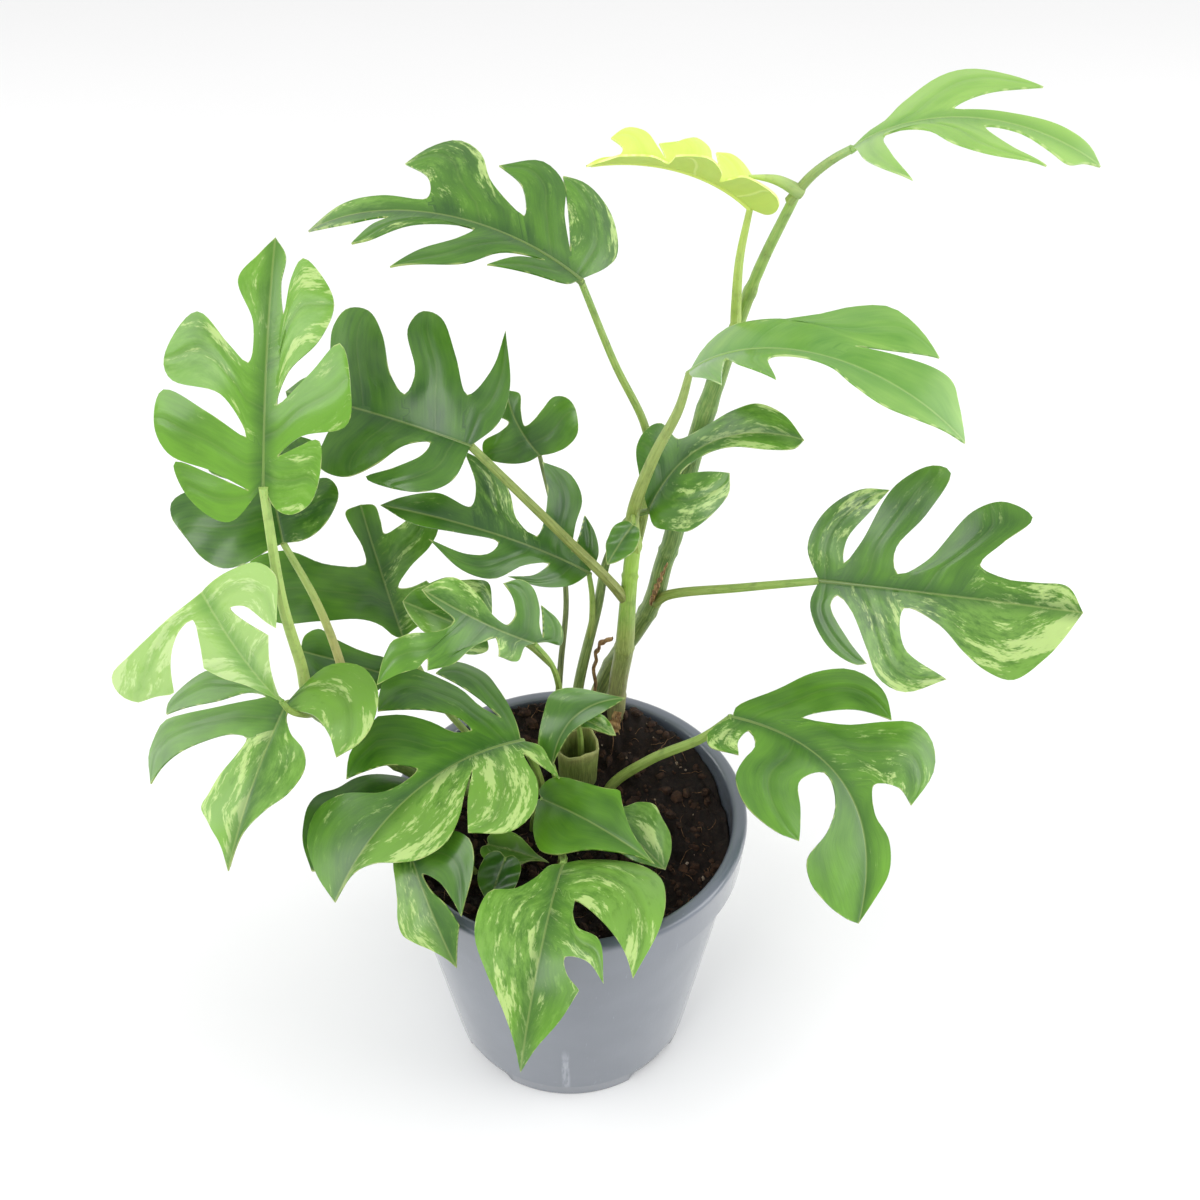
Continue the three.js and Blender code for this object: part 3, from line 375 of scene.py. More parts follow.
def crumb_parts(count, seed, smallest, largest):
    """Lumps: each is a ball of a few rings and sides, with every point pushed in or out at random, stretched
    at random along its three axes, turned round +Z and laid on the soil. All are worked out together."""
    centre, chance = scattered(count, seed, CRUMBS_WITHIN)
    polar = np.linspace(0, np.pi, CRUMB_RINGS)[:, None]
    angle = np.linspace(0, 2 * np.pi, CRUMB_SIDES, endpoint=False)
    ball = np.stack([
        np.sin(polar) * np.cos(angle), np.sin(polar) * np.sin(angle), -np.cos(polar) + 0 * angle], -1)
    uneven = 0.75 + 0.5 * chance.random((count, CRUMB_RINGS, CRUMB_SIDES, 1))
    uneven[:, [0, -1]] = 1
    sizes = smallest + (largest - smallest) * chance.random((count, 1, 1, 1)) ** 3
    stretch = 0.55 + 0.9 * chance.random((count, 1, 1, 3)) * np.array([1, 0.7, 0.5])
    turn = 2 * np.pi * chance.random((count, 1, 1))
    x, y, z = np.moveaxis(ball * uneven * sizes * stretch, -1, 0)
    lumps = np.stack([
        x * np.cos(turn) - y * np.sin(turn), x * np.sin(turn) + y * np.cos(turn), z], -1)
    return [{"points": lump, "around": True} for lump in lumps + centre[:, None, None]]


def smooth_line(points, steps):
    """Centripetal Catmull-Rom line through the points. Each span is a cubic in t from 0 to 1, and its slope
    at a point weighs the two spans there by the square roots of their lengths."""
    points = np.asarray(points, float)
    ends = [2 * points[:1] - points[1:2], points, 2 * points[-1:] - points[-2:-1]]
    points = np.concatenate(ends)
    apart = np.sqrt(np.linalg.norm(np.diff(points, axis=0), axis=-1, keepdims=True))
    before, here, after = apart[:-2], apart[1:-1], apart[2:]
    p0, p1, p2, p3 = points[:-3], points[1:-2], points[2:-1], points[3:]
    start = ((p1 - p0) / before - (p2 - p0) / (before + here) + (p2 - p1) / here) * here
    end = ((p2 - p1) / here - (p3 - p1) / (here + after) + (p3 - p2) / after) * here
    t = np.linspace(0, 1, steps, endpoint=False)[:, None]
    square = (3 * (p2 - p1) - 2 * start - end)[:, None] * t**2
    cube = (2 * (p1 - p2) + start + end)[:, None] * t**3
    spans = p1[:, None] + start[:, None] * t + square + cube
    return np.concatenate([spans.reshape(-1, points.shape[-1]), p2[-1:]])


def reach_along(line):
    """How far along a line each of its points is."""
    return np.concatenate([[0], np.cumsum(np.linalg.norm(np.diff(line, axis=0), axis=1))])


def carried(line, radius, sides, flatness=1.0, ripple=0.0):
    """A round section carried along a line, with a radius for each point. Its first axis is square to the
    line and as near as it can be to the axis that the line runs along least. flatness scales the section
    along its second axis, and ripple cuts grooves into it."""
    line = np.asarray(line, float)
    radius = radius[:, None, None]
    forward = np.gradient(line, axis=0)
    forward /= np.linalg.norm(forward, axis=1, keepdims=True)
    across = np.eye(3)[np.argmin(np.abs(line[-1] - line[0]))]
    second = np.cross(forward, across)
    second /= np.linalg.norm(second, axis=1, keepdims=True)
    first = np.cross(second, forward)
    angle = np.linspace(0, 2 * np.pi, sides, endpoint=False)[:, None]
    shape = 1 + ripple * np.cos(5 * angle + 1) + 0.6 * ripple * np.cos(9 * angle)
    section = first[:, None] * np.cos(angle) + flatness * second[:, None] * np.sin(angle)
    tube = line[:, None] + radius * shape * section
    start = np.broadcast_to(line[:1, None], tube[:1].shape)
    end = np.broadcast_to(line[-1:, None], tube[:1].shape)
    return np.concatenate([start, tube, end])


def fibre_parts(count, seed):
    """Coir: thin rods, each along an arc that lies on the soil and lifts a little in its middle."""
    centre, chance = scattered(count, seed, FIBRES_WITHIN)
    turn = 2 * np.pi * chance.random(count)
    length = 3 + 9 * chance.random(count) ** 2
    bend = 1.6 * (chance.random(count) - 0.5)
    parts = []
    t = np.linspace(-1, 1, FIBRE_POINTS)
    for middle, angle, long, curve in zip(centre, turn, length, bend):
        run = angle + curve * t
        line = np.stack([np.cos(run), np.sin(run), 0 * t], -1).cumsum(0) * long / FIBRE_POINTS
        line += middle - line[FIBRE_POINTS // 2]
        line[:, 2] = soil_height(line[:, 0], line[:, 1]) + 0.15 + 0.4 * (1 - t**2)
        parts.append({"points": carried(line, 0.16 - 0.08 * np.abs(t), 4), "around": True})
    return parts


peat = earth("peat", dye(*PEAT_WET), dye(*PEAT), 0.0022)
bark = earth("bark_crumbs", dye(*PEAT), dye(*BARK), 0.003)
pale = earth("pale_grains", dye(*BARK), dye(*PALE_GRAIN), 0.0016)
coir = earth("coir", dye(*BARK), dye(*COIR), 0.0012)
plug = {"points": soil_grid(), "around": True}
add_piece("potting_mix", [plug], [peat], ["soil"], "potting_soil", crease=180)
add_piece("bark_pieces", crumb_parts(CRUMBS, 4, *CRUMB_SIZES), [bark], (), "potting_soil", crease=30)
add_piece("pale_pieces", crumb_parts(GRAINS, 5, *GRAIN_SIZES), [pale], (), "potting_soil", crease=30)
add_piece("coir_fibres", fibre_parts(FIBRES, 6), [coir], (), "potting_soil", crease=60)


# Two stems climb out of the mix and a third runs to the left under the leaves. They are round, fleshy and
# jointed: a ring shows where each old leaf was. They turn from brown-grey at the foot to fresh green on top.
STEM_SIDES = 20
STEM_STEPS = 14
RING_SWELL = 0.32
RING_DIP = 0.12
RING_WIDTH = 0.008
RING_TO_DIP = 0.02
SKIN_LINES = (188, 204, 120)
SKIN_SHADE = (60, 78, 34)
SKIN_SPOTS = (92, 78, 48)
STEMS = {
    "stem_main": {
        "route": [[14, 43, 80], [16, 43, 100], [17, 43, 120], [19, 42, 137], [20, 42, 158], [21, 41, 175],
            [22, 41, 184]],
        "radii": [3.3, 3.2, 3.2, 3.3, 2.7, 2.5, 2.4], "rings": [0.28, 0.5, 0.76],
        "colours": [[0, (96, 84, 58)], [0.25, (124, 118, 84)], [0.45, (110, 122, 66)],
            [0.55, (128, 146, 66)], [0.62, (120, 158, 60)], [0.8, (150, 196, 70)], [1, (138, 178, 74)]],
    },
    "stem_climbing": {
        "route": [[4, 44, 80], [8, 48, 102], [15, 53, 120], [23, 54, 134], [29, 53, 149], [32, 53, 164],
            [35, 53, 176], [39, 54, 201], [46, 51, 235], [52, 47, 260], [57, 44, 279], [65, 42, 301]],
        "radii": [3, 3, 3, 3.1, 3.3, 3.1, 3.2, 3.2, 3, 2, 1.6, 1.4], "rings": [0.18, 0.33, 0.5, 0.7, 0.86],
        "colours": [[0, (84, 88, 52)], [0.3, (82, 110, 52)], [0.62, (76, 118, 54)], [0.74, (92, 136, 60)],
            [0.86, (128, 166, 70)], [1, (140, 178, 92)]],
    },
    "stem_side": {
        "route": [[-16, 16, 80], [-22, 14, 92], [-45, 8, 108], [-66, 4, 128], [-78, 0, 145], [-82, -2, 151]],
        "radii": [3.2, 3.2, 3, 2.8, 2.6, 2], "rings": [0.25, 0.5, 0.75],
        "colours": [[0, (96, 92, 56)], [0.4, (100, 122, 56)], [0.8, (110, 142, 62)], [1, (128, 158, 70)]],
    },
}


def skin(name, colours, speckled=0.5):
    """Plant skin along a rod: a colour for each place, fine lines lengthwise and small rough spots."""
    finish = Finish(name, {"Specular IOR Level": 0.5, "Subsurface Weight": 0.06, "Subsurface Scale": 0.001})
    straight = finish.mark("straight")
    along = finish.part(finish.mark("reach"), "X")
    cloud = finish.noise(straight, 5, 3)
    lines = finish.noise(finish.stretched(straight, (1, 1, 0.06)), 0.45, 3, 0.6)
    spots = finish.step(finish.noise(finish.stretched(straight, (1, 1, 0.5)), 0.8, 4, 0.7), 0.6, 0.7)
    stops = [[place, dye(*colour)] for place, colour in colours]
    base = finish.node("ShaderNodeValToRGB", {"stops": stops}, {0: along + 0.12 * (cloud - 0.5)})
    shaded = finish.mix(finish.step(lines, 0.3, 0.75) * 0.45, base, dye(*SKIN_LINES))
    dark = finish.mix(finish.step(cloud, 0.5, 0.75) * 0.35, shaded, dye(*SKIN_SHADE))
    return finish.surface({
        "Base Color": finish.mix(spots * speckled, dark, dye(*SKIN_SPOTS)),
        "Roughness": 0.4 + 0.25 * cloud + 0.2 * spots,
        "Normal": finish.bump(lines + 0.6 * spots, 0.00012),
    })


def rod_part(route, radii, sides, steps, rings=(), look=0, **shape):
    """A rod whose radius swells at each ring and dips just after it, both by a bell curve along the rod. Its
    marks are the rod laid out straight, and the share of the way along it with the direction round it."""
    line = smooth_line(route, steps)
    place = np.linspace(0, len(radii) - 1, len(line))
    radius = np.interp(place, range(len(radii)), radii)
    share = place / place[-1]
    for ring in rings:
        swelling = np.exp(-(((share - ring) / RING_WIDTH) ** 2))
        dip = np.exp(-(((share - ring - RING_TO_DIP) / RING_WIDTH) ** 2))
        radius = radius + RING_SWELL * swelling - RING_DIP * dip
    points = carried(line, radius, sides, **shape)
    angle = np.linspace(0, 2 * np.pi, sides, endpoint=False)
    length = np.pad(reach_along(line), 1, "edge")[:, None] * np.ones(sides)
    wide = np.pad(radius, 1, "edge")[:, None]
    straight = np.stack([wide * np.cos(angle), wide * np.sin(angle), length], -1)
    reach = np.pad(share, 1, "edge")[:, None] * np.ones(sides)
    reach = np.stack([reach, np.cos(angle) + 0 * reach, np.sin(angle) + 0 * reach], -1)
    return {"points": points, "around": True, "look": look, "marks": {"straight": straight, "reach": reach}}


for name, stem in STEMS.items():
    part = rod_part(stem["route"], stem["radii"], STEM_SIDES, STEM_STEPS, stem["rings"], ripple=0.025)
    add_piece(f"{name}_skin", [part], [skin(f"{name}_skin", stem["colours"])], [name], "stem_green")


# The dry sheaths are what is left of the papery bracts round young leaves: thin brown strips that curl and
# crumple along the stems, with torn ends. The stump is an old leaf base, cut off short, and still green.
SHEATHS = {
    "sheath_main": {
        "route": [[9, 43, 90], [9, 43, 112], [9, 43, 130], [11, 43, 138], [15, 42, 141]],
        "radii": [1.3, 1.3, 1.3, 1.2, 0.8], "flatness": 0.45,
    },
    "sheath_climbing": {
        "route": [[28, 49, 151], [30, 47, 160], [33, 46, 170]], "radii": [1.4, 1.4, 0.6], "flatness": 0.4,
    },
    "sheath_base": {
        "route": [[12, 34, 90], [15, 37, 101], [17, 40, 109]], "radii": [2.2, 2.2, 1.2], "flatness": 0.4,
    },
}
SHEATH_SIDES = 16
SHEATH_STEPS = 16
SHEATH_CRUMPLE = 0.35
SHEATH_DARK = (92, 62, 36)
SHEATH_LIGHT = (176, 140, 92)
SHEATH_LINES = (212, 190, 142)
STUMP_SIDES = 40
STUMP_HEIGHT = 32
STUMP_INSIDE = 25
STUMP_FOOT = np.array([3, 23, 82])
STUMP_LEAN = math.radians(6)
STUMP_COLOURS = [[0, (70, 62, 36)], [0.4, (84, 96, 46)], [0.85, (112, 128, 58)], [1, (150, 150, 92)]]
STUMP_PROFILE = [
    [0, 0], [5.6, 0], [5.9, 5], [6.3, 10], [6.6, 15], [6.7, 20], [6.9, 26], [7.2, 31], [7.3, STUMP_HEIGHT],
    [6.9, 32.6], [6.4, 32.5], [6.2, 31], [5.8, 22], [5.6, 17.5], [5.2, 16.8], [4, 16.5], [0, 16.5],
]


def dry_skin():
    finish = Finish("dry_sheath_skin", {"Specular IOR Level": 0.3})
    straight = finish.mark("straight")
    lines = finish.noise(finish.stretched(straight, (1, 1, 0.1)), 0.35, 4, 0.7)
    cloud = finish.noise(straight, 2.5, 3)
    base = finish.mix(finish.step(cloud, 0.3, 0.7), dye(*SHEATH_DARK), dye(*SHEATH_LIGHT))
    return finish.surface({
        "Base Color": finish.mix(finish.step(lines, 0.5, 0.7) * 0.6, base, dye(*SHEATH_LINES)),
        "Roughness": 0.65 + 0.3 * lines,
        "Normal": finish.bump(lines, 0.0003),
    })


def stump_part():
    """The cup turned round +Z with an uneven wall and a wavy rim, leaned over and put in its place."""
    cup = turned(STUMP_PROFILE, STUMP_SIDES)
    angle = np.linspace(0, 2 * np.pi, STUMP_SIDES, endpoint=False)
    height = cup[..., 2:] / STUMP_HEIGHT
    uneven = (0.03 * np.sin(5 * angle + 1) + 0.02 * np.sin(11 * angle))[:, None] * height
    cup[..., :2] *= 1 + uneven
    cup[..., 2] += np.where(cup[..., 2] > STUMP_INSIDE, 1.2 * np.sin(3 * angle + 0.5) - 1.2, 0)
    marks = {"straight": cup.copy(), "reach": np.repeat(height, 3, -1)}
    y = cup[..., 1] * math.cos(STUMP_LEAN) - cup[..., 2] * math.sin(STUMP_LEAN)
    z = cup[..., 1] * math.sin(STUMP_LEAN) + cup[..., 2] * math.cos(STUMP_LEAN)
    return {"points": np.stack([cup[..., 0], y, z], -1) + STUMP_FOOT, "around": True, "marks": marks}


dry = dry_skin()
for name, sheath in SHEATHS.items():
    flatness = sheath["flatness"]
    part = rod_part(
        sheath["route"], sheath["radii"], SHEATH_SIDES, SHEATH_STEPS, flatness=flatness, ripple=0.16)
    along = part["marks"]["reach"][..., :1]
    part["points"] += SHEATH_CRUMPLE * np.sin(40 * along + np.array([0, 2, 4])) * np.sin(np.pi * along)
    add_piece(f"{name}_strip", [part], [dry], [name], "dry_sheath")
add_piece("stump_cup", [stump_part()], [skin("old_leaf_base", STUMP_COLOURS)], ["stump"], "old_stem")


# The leaf stalks are tough green rods with shallow grooves along them. Each one starts at a stem or in the
# mix, grows thinner on its way out and ends at the base of its blade.
STALK_SIDES = 14
STALK_STEPS = 10
STALK_COLOURS = [[0, (104, 118, 52)], [0.3, (122, 146, 62)], [0.8, (132, 166, 70)], [1, (120, 160, 72)]]
STALK_LOOKS = {  # the stalks that differ from the rest
    "01": [[0, (158, 186, 92)], [0.5, (176, 200, 108)], [1, (160, 196, 104)]],
    "02": [[0, (112, 116, 56)], [0.6, (124, 134, 62)], [1, (116, 142, 64)]],
    "03": [[0, (188, 166, 106)], [0.4, (182, 176, 108)], [0.7, (160, 180, 96)], [1, (140, 172, 84)]],
    "05": [[0, (150, 178, 78)], [1, (176, 204, 90)]],
    "06": [[0, (128, 154, 82)], [1, (150, 184, 116)]],
    "07": [[0, (146, 176, 76)], [0.35, (132, 150, 72)], [1, (134, 160, 84)]],
    "08": [[0, (84, 104, 50)], [1, (86, 124, 54)]],
    "11": [[0, (62, 68, 46)], [1, (96, 116, 62)]],
}


def stalk_part(leaf, look=0):
    """A rod that tapers evenly from its foot to the blade."""
    radii = np.linspace(*leaf["radius"], len(leaf["stalk"]))
    return rod_part(leaf["stalk"], radii, STALK_SIDES, STALK_STEPS, look=look, ripple=0.05)


# The grown leaves, each a blade on its own stalk. They are soft and leathery, and nearly all are split: the
# gaps between the lobes were there when the leaf unrolled.
def tip(u, v):
    """A sharp corner of an outline."""
    return [u, v, "tip"]


def gap(u, v):
    """The rounded bottom of the split between two lobes."""
    return [u, v, "gap"]


def grow(base, end, face, droop, left, right, stalk, radius, **own):
    """A leaf's sizes. base and end are the midrib's ends, face is the way that the upper side looks, and
    droop is the midrib's arch in degrees. left and right are the outlines of the halves, in percent of the
    blade's length: along the midrib from its base, then sideways. stalk is the stalk's middle from its foot
    to the blade, and radius its radius at both ends. A few leaves have their own fold and curl in degrees,
    for the left and the right half, or a bend sideways as a share of the blade's length."""
    return {"base": base, "tip": end, "face": face, "droop": droop, "left": left, "right": right,
        "stalk": stalk, "radius": radius, **own}


LEAVES = {
  "01": grow([-84, 0, 232], [-81, 45, 286], [0, -0.78, 0.6], 25,
    [[-15, 14], [-5, 30], [8, 35], [4, 21], gap(-2, 6), [5, 20], [11, 37], [23, 43], [36, 40],
      [28, 22], gap(19, 7), [35, 17], [40, 37], [48, 40], [67, 28], [55, 15], gap(48, 7), [64, 6],
      [81, 13], [92, 6]],
    [[-9, -5], [-11, -11], [-6, -19], [8, -23], [19, -22], [16, -14], gap(12, -6), [20, -15],
      [25, -33], [41, -34], [57, -29], [45, -18], gap(32, -5), [45, -9], [58, -21], [72, -26], [84, -20],
      [91, -12], [83, -8], gap(68, -6), [80, -4], [92, -5]],
    [[-80, -1, 146], [-82, 2, 154], [-82, 1, 164], [-83, -5, 195], [-84, -1, 232]], [2.2, 1.3]),
  "02": grow([-28, 30, 226], [-87, 55, 230], [-0.1, -0.6, 0.78], 30,
    [[2, 19], [15, 30], [40, 31], [28, 22], [19, 12], gap(18, 5), [28, 10], [38, 24], [50, 34],
      [64, 32], [66, 18], gap(66, 8), [80, 12], [92, 8]],
    [[-8, -15], [-7, -32], tip(5, -58), [4, -38], gap(10, -22), [22, -38], [36, -54], [46, -54],
      [49, -44], [37, -24], gap(38, -13), [48, -20], [60, -38], [72, -48], [84, -46], [87, -36], [82, -20],
      gap(82, -10), [90, -9]],
    [[19, 42, 158], [13, 35, 172], [-3, 32, 194], [-28, 30, 226]], [1.9, 1.2]),
  "03": grow([-85, 15, 201], [-95, 50, 219], [0, -0.6, 0.8], 20,
    [[-3, 12], [-9, 32], [-8, 48], [6, 62], [25, 70], [42, 78], [55, 76], [60, 60], [50, 30],
      gap(48, 12), [60, 30], [75, 45], [88, 30], [95, 12]],
    [[-2, -14], [2, -27], [12, -39], [28, -48], [42, -42], [42, -20], gap(44, -8), [58, -30],
      [74, -38], [90, -18]],
    [[-68, 4, 130], [-72, 10, 159], [-77, 12, 181], [-85, 15, 201]], [1.6, 1]),
  "04": grow([5, 45, 273], [-75, 62, 280], [-0.15, -0.25, 1], 80,
    [[4, 6], [18, 13], tip(30, 17), [22, 8], gap(14, 3), [27, 9], [38, 21], tip(57, 29), [50, 19],
      [41, 9], gap(38, 3), [56, 7], [68, 16], tip(74, 17), [70, 8], gap(66, 4), [80, 5], [92, 3]],
    [[-7, -12], [-9, -21], [-2, -33], [9, -37], tip(18, -34), [12, -20], gap(7, -7), [13, -18],
      [17, -31], [26, -36], tip(38, -27), [29, -22], gap(25, -10), [38, -18], [45, -30], [53, -34],
      [62, -29], tip(68, -22), [58, -15], gap(56, -6), [72, -7], [88, -6]],
    [[22, 42, 178], [25, 46, 191], [27, 53, 204], [25, 55, 217], [15, 50, 243], [5, 45, 273]], [1.7, 1]),
  "05": grow([52, 40, 297], [7, 35, 311], [-0.2, -0.3, 1], 60,
    [[-6, 8], [-2, 20], [10, 27], [24, 26], [26, 14], gap(27, 5), [33, 18], [44, 26], tip(56, 18),
      [56, 9], gap(57, 5), [68, 14], tip(82, 12), [90, 5]],
    [[-9, -6], [-8, -16], [2, -28], [14, -31], tip(25, -26), [24, -14], gap(26, -5), [29, -15],
      [30, -26], [38, -29], [47, -22], tip(60, -17), [58, -11], gap(57, -6), [61, -14], [67, -25],
      [76, -27], tip(86, -18), [80, -10], gap(82, -5), [92, -4]],
    [[51, 48, 255], [50, 42, 267], [50, 40, 282], [52, 40, 297]], [1.8, 0.9], fold=[58, 8], curl=[6, 25]),
  "06": grow([77, 32, 317], [134, 5, 323], [0.1, -0.35, 1], 80,
    [[8, 4], [15, 6], [20, 14], [30, 23], [42, 27], [56, 26], tip(70, 23), [54, 15], gap(42, 5),
      [60, 5], [80, 7], [93, 5]],
    [[5, -5], [14, -18], [25, -29], tip(40, -40), [27, -22], gap(18, -4), [36, -8], [48, -17],
      [64, -21], tip(81, -18), [68, -15], gap(56, -5), [68, -4], [80, -8], [88, -10], [94, -4]],
    [[63, 42, 298], [68, 40, 306], [73, 37, 312], [77, 32, 317]], [1.5, 1.1]),
  "07": grow([37, 34, 249], [109, -8, 251], [0.3, -0.4, 0.9], 95,
    [[2, 9], [10, 15], [20, 14], [28, 12], [42, 15], [51, 22], [60, 26], [70, 23], tip(80, 17),
      [68, 11], gap(58, 7), [70, 10], [86, 13], [92, 8]],
    [[8, -8], [18, -14], tip(28, -20), [22, -9], gap(20, -4), [28, -9], tip(43, -15), [36, -5],
      gap(42, -3), [55, -4], [63, -8], [73, -10], [83, -7], [92, -3]],
    [[22, 41, 180], [21, 34, 198], [27, 29, 223], [34, 30, 239], [37, 34, 249]], [2.4, 1.1]),
  "08": grow([26, 35, 199], [73, 38, 223], [-0.1, -0.6, 0.75], 30,
    [[3, 18], [8, 31], [18, 32], [28, 27], gap(34, 12), [50, 10], [70, 15], [85, 19], [95, 14]],
    [[0, -10], [9, -24], [20, -36], [35, -39], [49, -33], tip(54, -22), [44, -16], gap(27, -5),
      [42, -5], [60, -7], [78, -11], [92, -9]],
    [[0, 39, 84], [3, 42, 118], [10, 44, 154], [13, 45, 172], [20, 42, 191], [26, 35, 199]],
    [2.1, 0.9], bend=0.2),
  "09": grow([81, 30, 175], [160, 10, 178], [0.1, -0.75, 0.65], 20,
    [[-6, 13], [-1, 27], [12, 37], tip(23, 38), [17, 29], [9, 17], gap(9, 8), [15, 17], [25, 40],
      [38, 49], [45, 47], [38, 30], [28, 15], gap(30, 6), [40, 12], [55, 33], [66, 38], [77, 33],
      [67, 22], gap(60, 13), [70, 9], [82, 9], [93, 9]],
    [[-2, -10], [7, -25], [19, -31], tip(23, -30), [15, -22], [6, -9], gap(8, -5), [14, -10],
      [22, -24], [28, -35], [38, -39], tip(53, -32), [36, -22], gap(34, -7), [48, -12], [58, -21],
      [67, -27], [77, -29], [88, -19], [93, -12]],
    [[29, 52, 148], [34, 47, 156], [57, 38, 166], [81, 30, 175]], [1.9, 1.2]),
  "10": grow([54, 10, 134], [93, -40, 91], [0.2, -0.5, 0.85], 35,
    [[-3, 8], [0, 24], [2, 41], [8, 50], [22, 47], tip(36, 36), [24, 29], gap(16, 12), [27, 19],
      [35, 33], [42, 43], [52, 45], [63, 40], tip(70, 25), [61, 21], gap(55, 11), [65, 7], [78, 12],
      [89, 12], [95, 6]],
    [[0, -8], [2, -17], [8, -24], tip(16, -22), [11, -15], gap(9, -6), [16, -13], [19, -24],
      [24, -34], [36, -41], [50, -38], tip(58, -31), [48, -24], [38, -16], gap(40, -4), [53, -8],
      [61, -17], [66, -30], [74, -30], [86, -21], [95, -9]],
    [[12, 16, 80], [14, 17, 94], [28, 14, 111], [45, 11, 124], [54, 10, 134]], [2, 1.4], bend=0.24),
  "11": grow([-9, 62, 202], [-20, 75, 219], [0, -0.6, 0.8], 20,
    [[0, 20], [10, 42], [30, 60], [50, 52], [52, 25], gap(58, 10), [75, 20], [92, 10]],
    [[-4, -12], [-6, -35], [3, -60], [20, -74], [38, -80], [55, -76], [62, -60], [54, -40],
      [46, -22], gap(44, -8), [65, -12], [85, -18]],
    [[-5, 44, 90], [-4, 44, 114], [-3, 48, 126], [-1, 54, 148], [-3, 58, 171], [-9, 62, 202]],
    [1.3, 0.7], bend=0.08),
  "12": grow([7, 42, 169], [-58, 35, 201], [-0.1, -0.6, 0.8], 60,
    [[3, 3], [12, 10], [26, 15], tip(42, 16), [30, 11], gap(24, 4), [36, 9], [48, 19], [61, 19],
      tip(77, 10), [61, 12], [52, 9], gap(49, 3), [66, 4], [85, 5]],
    [[-2, -9], [4, -17], tip(12, -22), [12, -12], gap(14, -5), [16, -16], [16, -28], [25, -36],
      tip(39, -36), [33, -22], gap(33, -5), [44, -9], [50, -19], [60, -27], tip(72, -30), [64, -17],
      gap(64, -8), [78, -10], [92, -5]],
    [[7, 43, 140], [8, 42, 150], [8, 42, 160], [7, 42, 169]], [1.2, 0.8]),
  "13": grow([-57, 45, 139], [-69, 60, 184], [0, -0.7, 0.7], 25,
    [[3, 5], [15, 12], [25, 26], [30, 50], [36, 78], [56, 94], [82, 84], [84, 58], [68, 34],
      gap(60, 9), [72, 7], [86, 10], [98, 11]],
    [[4, -8], [12, -24], [28, -33], tip(38, -28), [36, -15], gap(38, -8), [50, -20], [61, -38],
      [72, -46], tip(84, -32), [79, -20], gap(77, -10), [86, -10], [97, -9]],
    [[-24, 24, 80], [-29, 28, 98], [-46, 37, 118], [-57, 45, 139]], [1.5, 0.9]),
  "14": grow([-10, 12, 164], [-43, 5, 191], [-0.2, -0.5, 0.8], 40,
    [[10, 5], [12, 16], tip(31, 18), [33, 12], gap(38, 6), [50, 16], [57, 26], [63, 36],
      tip(78, 48), gap(81, 41), tip(85, 50), [96, 60], tip(107, 74), [109, 58], tip(108, 43), [97, 31],
      [84, 23], [75, 15], gap(72, 8), [82, 5], [93, 3]],
    [[-12, -3], [-34, -3], [-28, -12], [-12, -22], tip(7, -28), [-1, -16], gap(-6, -6), [3, -14],
      [9, -26], [22, -38], [36, -39], tip(46, -32), [35, -25], [28, -14], gap(31, -6), [46, -8],
      [56, -13], [68, -18], [82, -19], [91, -12]],
    [[-4, 32, 84], [-3, 30, 110], [-3, 26, 132], [-5, 20, 148], [-10, 12, 164]], [1.3, 0.8], bend=0.05),
  "15": grow([-15, 2, 131], [-70, -50, 113], [-0.25, -0.45, 0.85], 50,
    [[-4, 5], [-1, 15], tip(3, 26), [4, 15], gap(5, 8), [12, 25], [23, 37], [36, 39], tip(47, 29),
      [38, 18], gap(27, 7), [36, 14], [46, 22], [56, 26], [66, 23], [73, 16], [79, 8], [87, 2]],
    [[-5, -10], [-9, -20], [-12, -32], [-14, -44], [-9, -52], tip(4, -47), [1, -38], [-1, -27],
      gap(-1, -14), [2, -22], [2, -34], tip(6, -46), [11, -55], [22, -53], [30, -46], tip(36, -39),
      [29, -34], [20, -27], [14, -19], gap(14, -11), [20, -13], [24, -22], [30, -31], tip(38, -37),
      [47, -34], [56, -31], tip(64, -24), [56, -20], [49, -16], gap(42, -7), [49, -6], [58, -9],
      [69, -21], [80, -26], [90, -23], [97, -12]],
    [[-6, 12, 80], [-8, 11, 94], [-11, 7, 115], [-15, 2, 131]], [1.6, 1.1], bend=-0.08),
  "16": grow([-49, -3, 109], [-80, -34, 109], [-0.3, -0.4, 0.85], 40,
    [[-5, 8], [-6, 20], [6, 32], [28, 36], [44, 32], [42, 18], gap(42, 8), [56, 20], [72, 24],
      [90, 12]],
    [[-5, -8], [-8, -20], [8, -34], [28, -41], [44, -42], [57, -46], [70, -42], [82, -32],
      [91, -20]],
    [[-44, 8, 107], [-46, 3, 108], [-49, -3, 109]], [1.2, 0.9]),
  "17": grow([-86, -7, 156], [-101, -48, 125], [-0.2, -0.6, 0.75], 30,
    [[-14, 5], [-29, 14], [-33, 33], [-20, 49], [0, 54], [13, 51], tip(24, 42), [12, 32], [4, 18],
      gap(6, 3), [17, 10], [25, 22], [36, 27], [50, 23], [63, 12], [78, 3]],
    [[-10, -32], [-16, -55], [-20, -76], [-10, -90], [4, -97], tip(16, -93), [10, -75], [4, -50],
      [-3, -30], gap(-1, -15), [4, -30], [10, -52], [15, -74], [21, -92], [28, -96], [42, -95],
      tip(67, -82), [56, -77], [44, -66], [33, -48], [25, -28], gap(26, -16), [37, -18], [50, -24],
      [62, -28], [71, -31], [78, -22], [87, -10]],
    [[-82, -1, 147], [-84, -3, 151], [-86, -7, 156]], [1.3, 1], fold=[8, -10]),
  "18": grow([-86, -13, 162], [-103, -14, 205], [-0.1, -0.75, 0.6], 40,
    [[12, 3], [26, 8], [40, 16], tip(55, 24), [72, 17], gap(87, 13), [85, 22], [78, 31], [68, 39],
